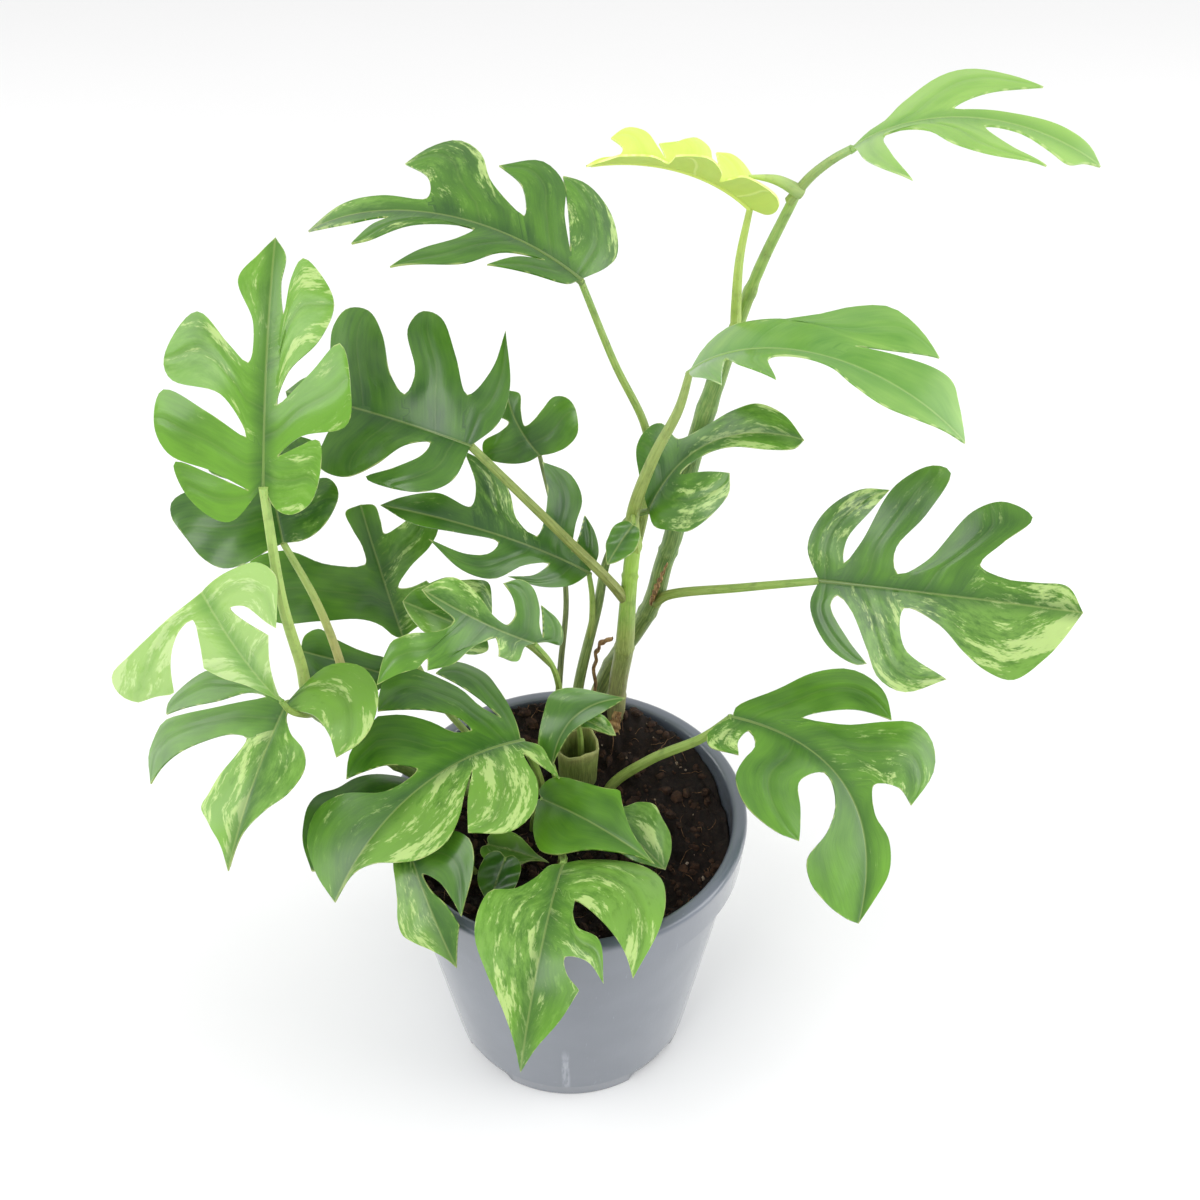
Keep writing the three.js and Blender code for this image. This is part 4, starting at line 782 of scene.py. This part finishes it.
      [57, 45], tip(46, 50), [50, 60], tip(51, 72), [57, 78], [65, 80], [75, 76], [82, 60], [88, 43],
      [94, 25], [98, 8]],
    [[12, -3], [30, -9], [44, -15], tip(57, -22), [70, -16], gap(84, -11), [82, -20], [66, -26],
      tip(60, -29), [75, -38], [92, -46], [103, -40], [105, -20], [103, -8]],
    [[-80, -2, 147], [-81, -8, 152], [-84, -12, 157], [-86, -13, 162]], [1.2, 0.9], curl=[20, 25]),
  "19": grow([-1, -32, 110], [-13, -87, 80], [0, -0.45, 0.9], 110,
    [[-8, 10], [-12, 25], [-3, 40], [14, 45], [30, 45], tip(52, 38), [43, 33], [34, 24], gap(24, 9),
      [36, 12], [40, 22], tip(56, 27), [49, 19], gap(49, 10), [55, 12], tip(60, 18), [72, 13], [86, 5]],
    [[5, -5], [16, -9], [25, -16], [28, -25], [37, -28], [48, -27], [61, -19], [72, -11],
      [86, -4]],
    [[-1, -10, 80], [-2, -14, 92], [-1, -23, 103], [-1, -32, 110]], [1.5, 1.1]),
  "20": grow([-49, -32, 118], [-33, -62, 97], [-0.3, -0.5, 0.8], 25,
    [[0, 20], [4, 38], [16, 49], [28, 48], [42, 41], [56, 30], tip(67, 21), [52, 19], [36, 15],
      gap(25, 4), [39, 6], [52, 12], tip(72, 17), [81, 11], [91, 5]],
    [[-4, -8], [6, -15], [22, -18], [36, -22], [48, -27], [60, -28], [70, -21], [80, -12],
      [91, -4]],
    [[-30, -14, 78], [-32, -16, 90], [-41, -24, 106], [-49, -32, 118]], [1.4, 1]),
  "21": grow([-8, -5, 111], [28, -32, 110], [0.1, -0.4, 0.9], 40,
    [[-8, 5], [-5, 18], [5, 22], [20, 23], [35, 26], tip(49, 31), [60, 20], [75, 9], [90, 3]],
    [[-5, -2], [2, -10], [12, -24], [22, -33], [30, -37], [40, -34], [50, -25], [65, -14],
      [85, -4]],
    [[-12, 4, 78], [-12, 2, 92], [-10, -2, 103], [-8, -5, 111]], [1.4, 1.1]),
}

# The young leaves are small, thin and soft. Each one is a blade that hasn't split yet and is one piece with
# its stalk.
YOUNG_LEAVES = {
  "22": grow([11, -5, 106], [32, -22, 96], [0.2, -0.4, 0.9], 20,
    [[6, 8], [18, 22], [25, 38], [40, 47], [55, 42], [75, 35], [90, 20]],
    [[8, -8], [25, -22], [55, -24], [82, -12]],
    [[5, 4, 80], [8, 0, 96], [11, -5, 106]], [1.1, 0.8]),
  "23": grow([-5, 3, 119], [19, 15, 138], [-0.1, -0.6, 0.75], 20,
    [[-3, 10], [0, 20], [15, 24], [30, 28], [48, 33], [62, 29], [75, 20], [88, 8]],
    [[5, -2], [20, -6], [35, -8], [50, -11], [70, -12], [86, -8]],
    [[-2, 7, 80], [-2, 6, 98], [-4, 4, 112], [-5, 3, 119]], [1.2, 0.9], bend=0.2),
  "24": grow([3, 18, 127], [16, 13, 123], [0, -0.4, 0.9], 20,
    [[10, 8], [30, 18], [52, 28], [72, 22], [88, 10]],
    [[10, -16], [22, -20], [45, -13], [70, -10], [88, -6]],
    [[4, 21, 99], [4, 21, 114], [3, 18, 127]], [1.2, 0.8]),
  "25": grow([-26, -12, 97], [-6, -18, 95], [0, -0.4, 0.9], 30,
    [[-6, 10], [4, 22], [20, 28], [42, 25], [60, 16], [78, 6], [90, 3]],
    [[-10, -6], [-8, -16], [6, -27], [24, -31], [42, -28], [58, -19], [72, -8], [88, -2]],
    [[-25, -7, 78], [-26, -9, 90], [-26, -12, 97]], [1.1, 0.8]),
  "26": grow([-20, -22, 102], [-25, -34, 93], [0, -0.5, 0.9], 20,
    [[-8, 14], [5, 36], [30, 41], [62, 37], [84, 22]],
    [[-8, -16], [5, -36], [30, -42], [60, -38], [82, -20]],
    [[-21, -27, 78], [-21, -27, 91], [-20, -25, 99], [-20, -22, 102]], [0.9, 0.7]),
  "27": grow([21, 26, 200], [13, 20, 189], [-0.2, -0.5, 0.8], 20,
    [[0, 15], [20, 32], [50, 34], [80, 18]],
    [[0, -15], [20, -30], [50, -30], [80, -16]],
    [[21, 34, 197], [21, 30, 200], [21, 26, 200]], [0.9, 0.7]),
  "28": grow([-26, 22, 158], [-52, 22, 173], [-0.1, -0.6, 0.75], 20,
    [[-6, 12], [10, 24], [30, 26], [50, 22], [66, 22], [80, 16], [92, 8]],
    [[4, -20], [11, -38], [22, -55], tip(42, -50), [52, -45], [66, -42], tip(86, -24), [95, -14]],
    [[-5, 20, 148], [-13, 20, 157], [-20, 21, 160], [-26, 22, 158]], [1, 0.7]),
  "29": grow([-61, 30, 135], [-88, 26, 149], [-0.1, -0.6, 0.75], 15,
    [[4, 16], [24, 28], [56, 35], [86, 28]],
    [[6, -16], [25, -17], [45, -18], [70, -23], [87, -28], [100, -17]],
    [[-46, 37, 118], [-52, 36, 126], [-57, 33, 132], [-61, 30, 135]], [1, 0.8]),
}


# Each leaf blade grows as one sheet and splits into lobes as it unrolls. The midrib stands out underneath,
# each lobe has a vein down its middle, and the green is broken by pale streaks that run along the lobes.
BLADE_THICKNESS = 0.6
BLADE_FOLD = (8, 8)  # degrees, left and right half
BLADE_CURL = (25, 25)
WEB_ROWS = 5
MARGIN_ROWS = 20
LOBE_COLUMNS = 12
MARGIN_STEPS = 8
TURNS_BACK = 0.02
ROOTS_APART = 0.035
LAST_ROOT = 0.94
SWELLING = 0.45
VEIN_GROOVE = 0.3
WAVES = 0.35
MIDRIB_RINGS = 30
MIDRIB_SIDES = 8
MIDRIB_RUN = (-0.015, 0.975)
MIDRIB_SHARE = 0.011
MIDRIB_LEAST = 0.12
MIDRIB_END = 0.2
MIDRIB_UNDER = 0.34
FROM_EDGE = 9
NO_VEIN = 99
# Mostly each blade's own tone. Leaf 1's value is raised so that the sheen on its lobes is painted into its
# green: partly its own tone, partly painted sheen.
LEAF_TONE_AND_SHEEN = {  # how light the green of a blade is, from 0 to 1
    1: 0.95, 2: 0.4, 3: 0.4, 4: 0.45, 5: 0.5, 6: 0.95, 7: 0.4, 8: 0.4, 9: 0.45, 10: 0.6,
    11: 0.45, 12: 0.3, 13: 0.5, 14: 0.45, 15: 0.45, 16: 0.2, 17: 0.6, 18: 1, 19: 0.6, 20: 0.35,
    21: 0.6, 22: 0.55, 23: 0.5, 24: 0.6, 25: 0.7, 26: 0.3, 27: 0.45, 28: 0.5, 29: 0.35,
}
PALE_LOBES = {  # how much pale tissue each lobe has, from the base to the tip, left half and right half
    1: ([0, 0.1, 0.4, 0.35], [0.4, 0.15, 0.5, 0.2]),
    3: ([0, 0.1], [0.3, 0.2]),
    4: ([0, 0.05, 0.2, 0.3], [0.3, 0.15, 0.3, 0.5]),
    8: ([0.1, 0.4], [0.3, 0.4]),
    9: ([0.3, 0.1, 0.1, 0.35], [0.1, 0.55, 0.6]),
    10: ([0, 0.25, 0.1], [0.3, 0.05, 0.05]),
    12: ([0, 0, 0], [0, 0, 0.35, 0.1]),
    13: ([0, 0.1], [0.6, 0.4, 0.1]),
    14: ([0.5, 0, 0.15, 0], [0.2, 0, 0.5]),
    15: ([0.8, 1, 0.85], [0, 0.1, 0.05, 0.15]),
    17: ([0.9, 0.45], [0.1, 0.05, 0.9]),
    18: ([0.8, 0.6], [0.9, 0.9]),
    19: ([0.7, 0.5, 0.3], [0.5]),
    20: ([0.05, 0.2], [0.75]),
    22: ([0.5], [0.2]),
    23: ([0.15], [0]),
    24: ([0.4], [0.4]),
    25: ([0.9], [0.6]),
    28: ([0.7], [0.3, 0.3, 0.6]),
}


def unit(vector):
    return vector / np.linalg.norm(vector)


def blade_length(leaf):
    """Length of the midrib's arc: the chord times half the droop over the sine of half the droop."""
    droop = math.radians(leaf["droop"])
    chord = np.linalg.norm(np.subtract(leaf["tip"], leaf["base"]))
    return chord * droop / 2 / math.sin(droop / 2)


def blade_surface(leaf, u, v, off):
    """Point of a blade. u runs along the midrib from 0 to 1 and v to the side, both in blade lengths; off is
    the height over the sheet. The midrib is an arc through the droop angle, and each half is an arc that
    starts with its fold and curls down as it goes out. A bend moves the midrib sideways, most in its
    middle."""
    base, end = np.array(leaf["base"], float), np.array(leaf["tip"], float)
    along = unit(end - base)
    face = np.array(leaf["face"], float)
    face = unit(face - face @ along * along)
    side = np.cross(face, along)
    droop = math.radians(leaf["droop"])
    length = blade_length(leaf)
    right = v < 0
    fold = np.where(right, *np.radians(leaf.get("fold", BLADE_FOLD))[::-1])
    curl = np.where(right, *np.radians(leaf.get("curl", BLADE_CURL))[::-1])
    turned_by = fold - curl * np.abs(v)
    out = length * (np.sin(fold) - np.sin(turned_by)) / curl - off * np.sin(turned_by)
    rise = length * (np.cos(turned_by) - np.cos(fold)) / curl + off * np.cos(turned_by)
    out = np.where(right, -out, out) + length * leaf.get("bend", 0) * 4 * u * (1 - u)
    lean = droop / 2 - droop * u
    x = length / droop * (math.sin(droop / 2) - np.sin(lean)) - rise * np.sin(lean)
    z = length / droop * (np.cos(lean) - math.cos(droop / 2)) + rise * np.cos(lean)
    return base + x[..., None] * along + out[..., None] * side + z[..., None] * face


def evenly(line, count):
    """Points at equal distances along a line."""
    reach = reach_along(line)
    wanted = np.linspace(0, reach[-1], count)
    return np.stack([np.interp(wanted, reach, line[:, axis]) for axis in (0, 1)], -1)


def margin_line(points):
    """The edge of one half: a smooth line from the base through the points to the blade's tip, broken at
    each sharp tip. Also which of the points are gaps and which are tips."""
    named = [[0, 0, "tip"], *[[*point, ""][:3] for point in points], [100, 0, "tip"]]
    places = np.array([point[:2] for point in named], float) / 100
    kinds = np.array([point[2] for point in named])
    corners = np.flatnonzero(kinds == "tip")
    runs = [smooth_line(places[a:b + 1], MARGIN_STEPS)[:-1] for a, b in zip(corners, corners[1:])]
    return np.concatenate([*runs, places[-1:]]), np.flatnonzero(kinds == "gap"), corners[1:-1]


def lobe_edge(web, margin, rows, rows_alone):
    """A lobe's edge: out along its web and on along the margin, or along the margin alone without a web."""
    if web is None:
        return evenly(margin, rows_alone + 1)
    return np.vstack([web, evenly(margin, rows + 1)[1:]])


def lobe_sheets(points):
    """Splits a half into lobes. A lobe is ruled between two edges, near and far, that both start on the
    midrib, go out along a web to the bottom of a gap and on along the margin, and meet at the lobe's tip:
    the point at row s and column t is near(s) (1 - t) + far(s) t. The last lobe is ruled between margin and
    midrib, unless it turns back towards the base: then its far edge runs from the blade's tip around to the
    lobe's own tip, so the gap stays open. Each lobe is given as near, far, the rows where the rims of both
    start, and whether it is ruled to the midrib."""
    line, gaps, tips = margin_line(points)
    roots = [0.0]
    webs = [None]
    for bottom in line[gaps * MARGIN_STEPS]:
        wanted = bottom[0] - 0.5 * abs(bottom[1])
        roots.append(min(max(wanted, roots[-1] + ROOTS_APART), LAST_ROOT))
        webs.append(np.linspace((roots[-1], 0), bottom, WEB_ROWS + 1))
    webs.append(None)
    stops = [0, *gaps, len(points) + 1]
    sheets = []
    for start, end, web, next_web in zip(stops, stops[1:], webs, webs[1:]):
        edge = line[start * MARGIN_STEPS:end * MARGIN_STEPS + 1]
        turns_back = edge[:, 0].min() < edge[0, 0] - TURNS_BACK
        to_midrib = next_web is None and (web is None or not turns_back)
        if to_midrib:
            near = lobe_edge(web, edge, 2 * MARGIN_ROWS, 2 * MARGIN_ROWS)
            reach = reach_along(near)
            far = np.stack([roots[-1] + (1 - roots[-1]) * reach / reach[-1], 0 * reach], -1)
        else:
            sharp = [corner for corner in tips if start < corner < end]
            reach = reach_along(edge)[1:]
            halfway = np.searchsorted(reach, reach[-1] / 2)
            cut = (sharp[len(sharp) // 2] - start) * MARGIN_STEPS if sharp else halfway
            near = lobe_edge(web, edge[:cut + 1], MARGIN_ROWS, WEB_ROWS + MARGIN_ROWS)
            far = lobe_edge(next_web, edge[cut:][::-1], MARGIN_ROWS, WEB_ROWS + MARGIN_ROWS)
        rims = [0 if side is None else WEB_ROWS for side in (web, next_web)]
        sheets.append((near, far, rims, to_midrib))
    return sheets, line


def lobe_parts(number, leaf, half, sheet, line, paleness):
    """Upper side, under side and rim of one lobe, with its marks for the finish. Its pale tissue grows
    stronger from the midrib outwards."""
    near, far, rims, to_midrib = sheet
    t = np.linspace(0, 1, LOBE_COLUMNS + 1)
    s = np.linspace(0, 1, len(near))[:, None]
    flat = near[:, None] * (1 - t[:, None]) + far[:, None] * t[:, None]
    across, down = np.diff(flat, axis=1)[:-1], np.diff(flat, axis=0)[:, :-1]
    if np.sum(across[..., 0] * down[..., 1] - across[..., 1] * down[..., 0]) < 0:
        flat = flat[:, ::-1]
        t = t[::-1]
        rims = rims[::-1]
    length = blade_length(leaf)
    u, v = flat[..., 0], flat[..., 1]
    wide = np.linalg.norm(near - far, axis=1)[:, None] * length
    swell = np.sin(np.pi * t) ** 2 * np.minimum(1, 4 * s) * (1 - s**6)
    from_vein = np.abs(t - 0.5) * wide + 4 * np.maximum(0, s - 0.75) + (NO_VEIN if to_midrib else 0)
    groove = np.exp(-((from_vein / 0.9) ** 2)) * np.minimum(1, 5 * s)
    wave = np.sin(15 * u + 10 * v + 5 * half + number) * np.minimum(1, 6 * np.abs(v))
    relief = WAVES * wave
    if not to_midrib:
        relief = relief + SWELLING * swell * np.minimum(1, wide / 12) - VEIN_GROOVE * groove
    upper = blade_surface(leaf, u, v, relief + BLADE_THICKNESS / 2)
    lower = blade_surface(leaf, u, v, relief - BLADE_THICKNESS / 2)
    from_edge = np.linalg.norm(flat[:, :, None] - line[None, None], axis=-1).min(-1) * length
    reach = reach_along((near + far) / 2)[:, None]
    grain = np.stack([reach * length + 0 * t, (t - 0.5) * wide, 0 * u + 9 * number + 40 * half], -1)
    ribs = np.stack([from_edge, np.abs(v) * length, from_vein + 0 * u], -1)
    pale = paleness * np.minimum(1, 0.45 + 1.1 * s) + 0 * u
    tint = np.stack([pale, 0 * u + LEAF_TONE_AND_SHEEN[number], u], -1)
    marks = {"grain": grain, "ribs": ribs, "tint": tint}
    yield {"points": upper, "look": 0, "marks": marks}
    yield {"points": lower[:, ::-1], "look": 1, "marks": {key: mark[:, ::-1] for key, mark in marks.items()}}
    edges = [(slice(rims[1], None), -1, 1), (slice(rims[0], None), 0, -1), (0, slice(None), 1)]
    for rows, columns, turn in edges:
        pair = np.stack([lower[rows, columns], upper[rows, columns]])[:, ::turn]
        ring = {key: np.stack([mark[rows, columns]] * 2)[:, ::turn] for key, mark in marks.items()}
        yield {"points": pair, "look": 0, "marks": ring}


def midrib_part(number, leaf):
    """A tapering round rib under the fold, from the joint to just before the tip."""
    u = np.linspace(*MIDRIB_RUN, MIDRIB_RINGS)
    line = blade_surface(leaf, u, 0 * u, -MIDRIB_UNDER)
    radius = np.linspace(MIDRIB_SHARE * blade_length(leaf) + MIDRIB_LEAST, MIDRIB_END, MIDRIB_RINGS)
    points = carried(line, radius, MIDRIB_SIDES)
    ribs = np.zeros(points.shape) + [FROM_EDGE, 0, NO_VEIN]
    tint = np.zeros(points.shape) + [0, LEAF_TONE_AND_SHEEN[number], 0.5]
    return {"points": points, "around": True, "marks": {"grain": points, "ribs": ribs, "tint": tint}}


def blade_parts(number, leaf):
    """The midrib and every lobe of both halves."""
    parts = [midrib_part(number, leaf)]
    for half, key in enumerate(("left", "right")):
        sheets, line = lobe_sheets(leaf[key])
        strengths = PALE_LOBES.get(number, ([], []))[half]
        for lobe, sheet in enumerate(sheets):
            paleness = strengths[lobe] if lobe < len(strengths) else 0
            parts += lobe_parts(number, leaf, half, sheet, line, paleness)
    return parts


def upper_side(name, deep, fresh, middle, streak, margin):
    """The glossy upper side: two greens in soft clouds, mixed by the blade's lightness, which for leaf 1
    holds painted sheen;
    fine side veins, a pale margin, midrib and lobe veins, painted shade beside the midrib fold and in the
    lobe vein grooves, and dashes of pale tissue along the lobe where the tint mark is high."""
    finish = Finish(name, {
        "Specular IOR Level": 0.5, "IOR": 1.45, "Subsurface Weight": 0.1, "Subsurface Scale": 0.001,
        "Subsurface Radius": (0.6, 1.0, 0.2), "Coat Weight": 0.35, "Coat Roughness": 0.2,
    })
    grain, ribs, tint = [finish.mark(key) for key in ("grain", "ribs", "tint")]
    edge, midrib, vein = [finish.part(ribs, axis) for axis in "XYZ"]
    pale, light, along = [finish.part(tint, axis) for axis in "XYZ"]
    cloud = finish.noise(finish.stretched(grain, (0.5, 1, 1)), 9, 2)
    fine = finish.noise(finish.stretched(grain, (0.1, 1, 1)), 0.8, 2)
    dashes = finish.noise(finish.stretched(grain, (0.26, 1, 1)), 6.5, 5, 0.75)
    soft = finish.noise(finish.stretched(grain, (0.4, 1, 1)), 2.4, 4, 0.7)
    ragged = pale + 1.6 * (soft - 0.5)
    wash = finish.step(ragged, 0.2, 0.75) * finish.step(pale, 0.02, 0.15)
    streaks = finish.step(dashes + 0.07 * ragged, 0.56, 0.63)
    crisp = streaks * finish.step(ragged, 0.12, 0.42) * finish.step(pale, 0.02, 0.2)
    specks = finish.step(dashes + 0.15 * soft, 0.79, 0.83)
    near_midrib = 1 - finish.step(midrib, 0.15, 0.5)
    near_vein = 1 - finish.step(vein, 0.1, 0.45)
    near_edge = 1 - finish.step(edge, 0.08, 0.35)
    outward = finish.step(along, 0.55, 1) * 0.2 - finish.step(edge, 0, 5) * 0.12
    # The blade's lightness mark mixes the deep and fresh greens. For leaf 1 it also carries painted sheen.
    green = finish.mix(light + 1.1 * (cloud - 0.5) + 0.35 * (fine - 0.5) + outward, deep, fresh)
    washed = finish.mix(wash * 0.55, green, middle)
    streaked = finish.mix(crisp * 0.7 + specks * 0.25, washed, streak)
    # Painted shade: the green is darkened towards the deep green beside the midrib, where the halves fold
    # up, and along the lobe vein grooves, where shade falls.
    painted_crease_shade = (1 - finish.step(midrib, 0.4, 5)) * 0.5 + (1 - finish.step(vein, 0.2, 2.4)) * 0.2
    shaded = finish.mix(painted_crease_shade, streaked, deep)
    veined = finish.mix(near_midrib * 0.22 + near_vein * 0.04, shaded, margin)
    hollow = finish.step(midrib, 0, 1.2) * 0.6 + finish.step(vein, 0, 0.9) * 0.2
    return finish.surface({
        "Base Color": finish.mix(near_edge * 0.6, veined, margin),
        "Roughness": 0.27 + 0.16 * cloud + 0.08 * crisp,
        "Normal": finish.bump(hollow + 0.2 * fine + 0.12 * crisp, 0.0002),
    })


def under_side(name, colour, vein_colour):
    """The dull under side: paler, with raised veins."""
    finish = Finish(name, {"Specular IOR Level": 0.35, "Subsurface Weight": 0.1, "Subsurface Scale": 0.001})
    grain, ribs = finish.mark("grain"), finish.mark("ribs")
    midrib, vein = finish.part(ribs, "Y"), finish.part(ribs, "Z")
    cloud = finish.noise(grain, 6, 3)
    fine = finish.noise(finish.stretched(grain, (0.1, 1, 1)), 0.9, 3)
    near_rib = 1 - finish.step(midrib, 0.3, 0.9)
    near_vein = 1 - finish.step(vein, 0.15, 0.6)
    base = finish.mix(0.5 * cloud + 0.4 * fine, colour, tuple(0.8 * c for c in colour[:3]) + (1,))
    return finish.surface({
        "Base Color": finish.mix(near_rib * 0.7 + near_vein * 0.5, base, vein_colour),
        "Roughness": 0.5 + 0.2 * cloud,
        "Normal": finish.bump(near_rib + 0.5 * near_vein + 0.3 * fine, 0.0003),
    })


green_upper = upper_side(
    "leaf_green", dye(34, 82, 14), dye(104, 160, 34), dye(134, 182, 74), dye(198, 222, 140),
    dye(186, 200, 120))
pale_upper = upper_side(
    "leaf_pale", dye(92, 146, 58), dye(150, 194, 92), dye(176, 210, 130), dye(206, 230, 160),
    dye(206, 226, 150))
yellow_upper = upper_side(
    "leaf_yellow", dye(196, 222, 78), dye(228, 246, 122), dye(236, 248, 160), dye(242, 252, 188),
    dye(236, 248, 160))
green_under = under_side("leaf_green_under", dye(112, 148, 92), dye(160, 186, 120))
pale_under = under_side("leaf_pale_under", dye(164, 196, 130), dye(206, 222, 168))
yellow_under = under_side("leaf_yellow_under", dye(198, 224, 104), dye(226, 242, 150))
stalk_skin = skin("stalk_skin", STALK_COLOURS, speckled=0.3)
BLADE_LOOKS = {
    "05": ([yellow_upper, yellow_under], "leaf_yellow_green"),
    "06": ([pale_upper, pale_under], "leaf_pale_green"),
    "07": ([pale_upper, pale_under], "leaf_pale_green"),
    "18": ([pale_upper, green_under], "leaf_variegated"),
}

for number, leaf in LEAVES.items():
    finishes, slot = BLADE_LOOKS.get(number, ([green_upper, green_under], "leaf_variegated"))
    add_piece(f"blade_{number}_sheet", blade_parts(int(number), leaf), finishes, [f"blade_{number}"], slot)
    colours = STALK_LOOKS.get(number)
    own_skin = skin(f"stalk_{number}_skin", colours, speckled=0.3) if colours else stalk_skin
    add_piece(f"stalk_{number}_rod", [stalk_part(leaf)], [own_skin], [f"stalk_{number}"], "stalk_green")

for number, leaf in YOUNG_LEAVES.items():
    parts = blade_parts(int(number), leaf) + [stalk_part(leaf, 2)]
    finishes = [green_upper, green_under, stalk_skin]
    add_piece(f"leaf_{number}_whole", parts, finishes, [f"leaf_{number}"], "leaf_variegated")


# The newest leaf is still rolled up: a smooth, soft, pale spike at the top joint of the climbing stem. It
# tapers to a point and will unroll into a blade.
SPIKE_ROUTE = [[66, 41, 301], [59, 40, 305], [51, 38, 307]]
SPIKE_RADII = [2, 1.4, 0.4]
SPIKE_SIDES = 16
SPIKE_STEPS = 14
SPIKE_COLOURS = [[0, (150, 176, 112)], [0.5, (176, 206, 120)], [1, (196, 226, 120)]]

spike = rod_part(SPIKE_ROUTE, SPIKE_RADII, SPIKE_SIDES, SPIKE_STEPS)
spike_skin = skin("new_leaf_skin", SPIKE_COLOURS, speckled=0.1)
add_piece("new_leaf_spike", [spike], [spike_skin], ["new_leaf"], "leaf_yellow_green")


# The stage: a wide pale floor under soft white light from all round, with a large lamp above the left front,
# a weaker one on the right and one low on each side. The camera looks down on the plant from the front.
FLOOR_SIZE = 12
FLOOR_COLOURS = ((243, 243, 243), (246, 246, 246))
SKY_LIGHT = 0.85
LAMPS_AIM = (0, 0, 0.15)
LAMPS = {  # place, size and watts
    "key_lamp": ((-0.7, -0.9, 1.6), 0.9, 10),
    "fill_lamp": ((1.3, -0.2, 1.1), 1.0, 6),
    "left_lamp": ((-1.1, 0.1, 0.35), 0.9, 5),
    "right_lamp": ((1.1, 0.1, 0.35), 0.9, 5),
}
LENS = 45
SENSOR = 36
CAMERA_PLACE = (0.0107, -0.3512, 0.4687)
CAMERA_TILT = math.radians(51.66)

bpy.ops.mesh.primitive_plane_add(size=FLOOR_SIZE)
floor = bpy.context.object
floor.name = "pale_floor"
paint = Finish("floor_paint", {"Roughness": 0.9, "Specular IOR Level": 0.1})
paint_cloud = paint.noise(paint.place(), 0.4, 2)
paint_colour = paint.mix(paint_cloud, *[dye(*colour) for colour in FLOOR_COLOURS])
floor.data.materials.append(paint.surface({"Base Color": paint_colour}))

world = bpy.data.worlds.new("studio")
bpy.context.scene.world = world
world.use_nodes = True
sky = world.node_tree.nodes["Background"]
sky.inputs["Color"].default_value = (1, 1, 1, 1)
sky.inputs["Strength"].default_value = SKY_LIGHT

for name, (place, size, watts) in LAMPS.items():
    lamp = bpy.data.lights.new(name, "AREA")
    lamp.size = size
    lamp.energy = watts
    holder = bpy.data.objects.new(name, lamp)
    holder.location = place
    x, y, z = np.subtract(LAMPS_AIM, place)
    holder.rotation_euler = (math.atan2(math.hypot(x, y), -z), 0, math.atan2(y, x) - math.pi / 2)
    bpy.context.scene.collection.objects.link(holder)

lens = bpy.data.cameras.new("camera")
lens.lens = LENS
lens.sensor_width = SENSOR
lens.clip_start = 0.01
camera = bpy.data.objects.new("camera", lens)
camera.location = CAMERA_PLACE
camera.rotation_euler = (CAMERA_TILT, 0, 0)
bpy.context.scene.collection.objects.link(camera)
bpy.context.scene.camera = camera
bpy.context.scene.view_settings.view_transform = "Standard"
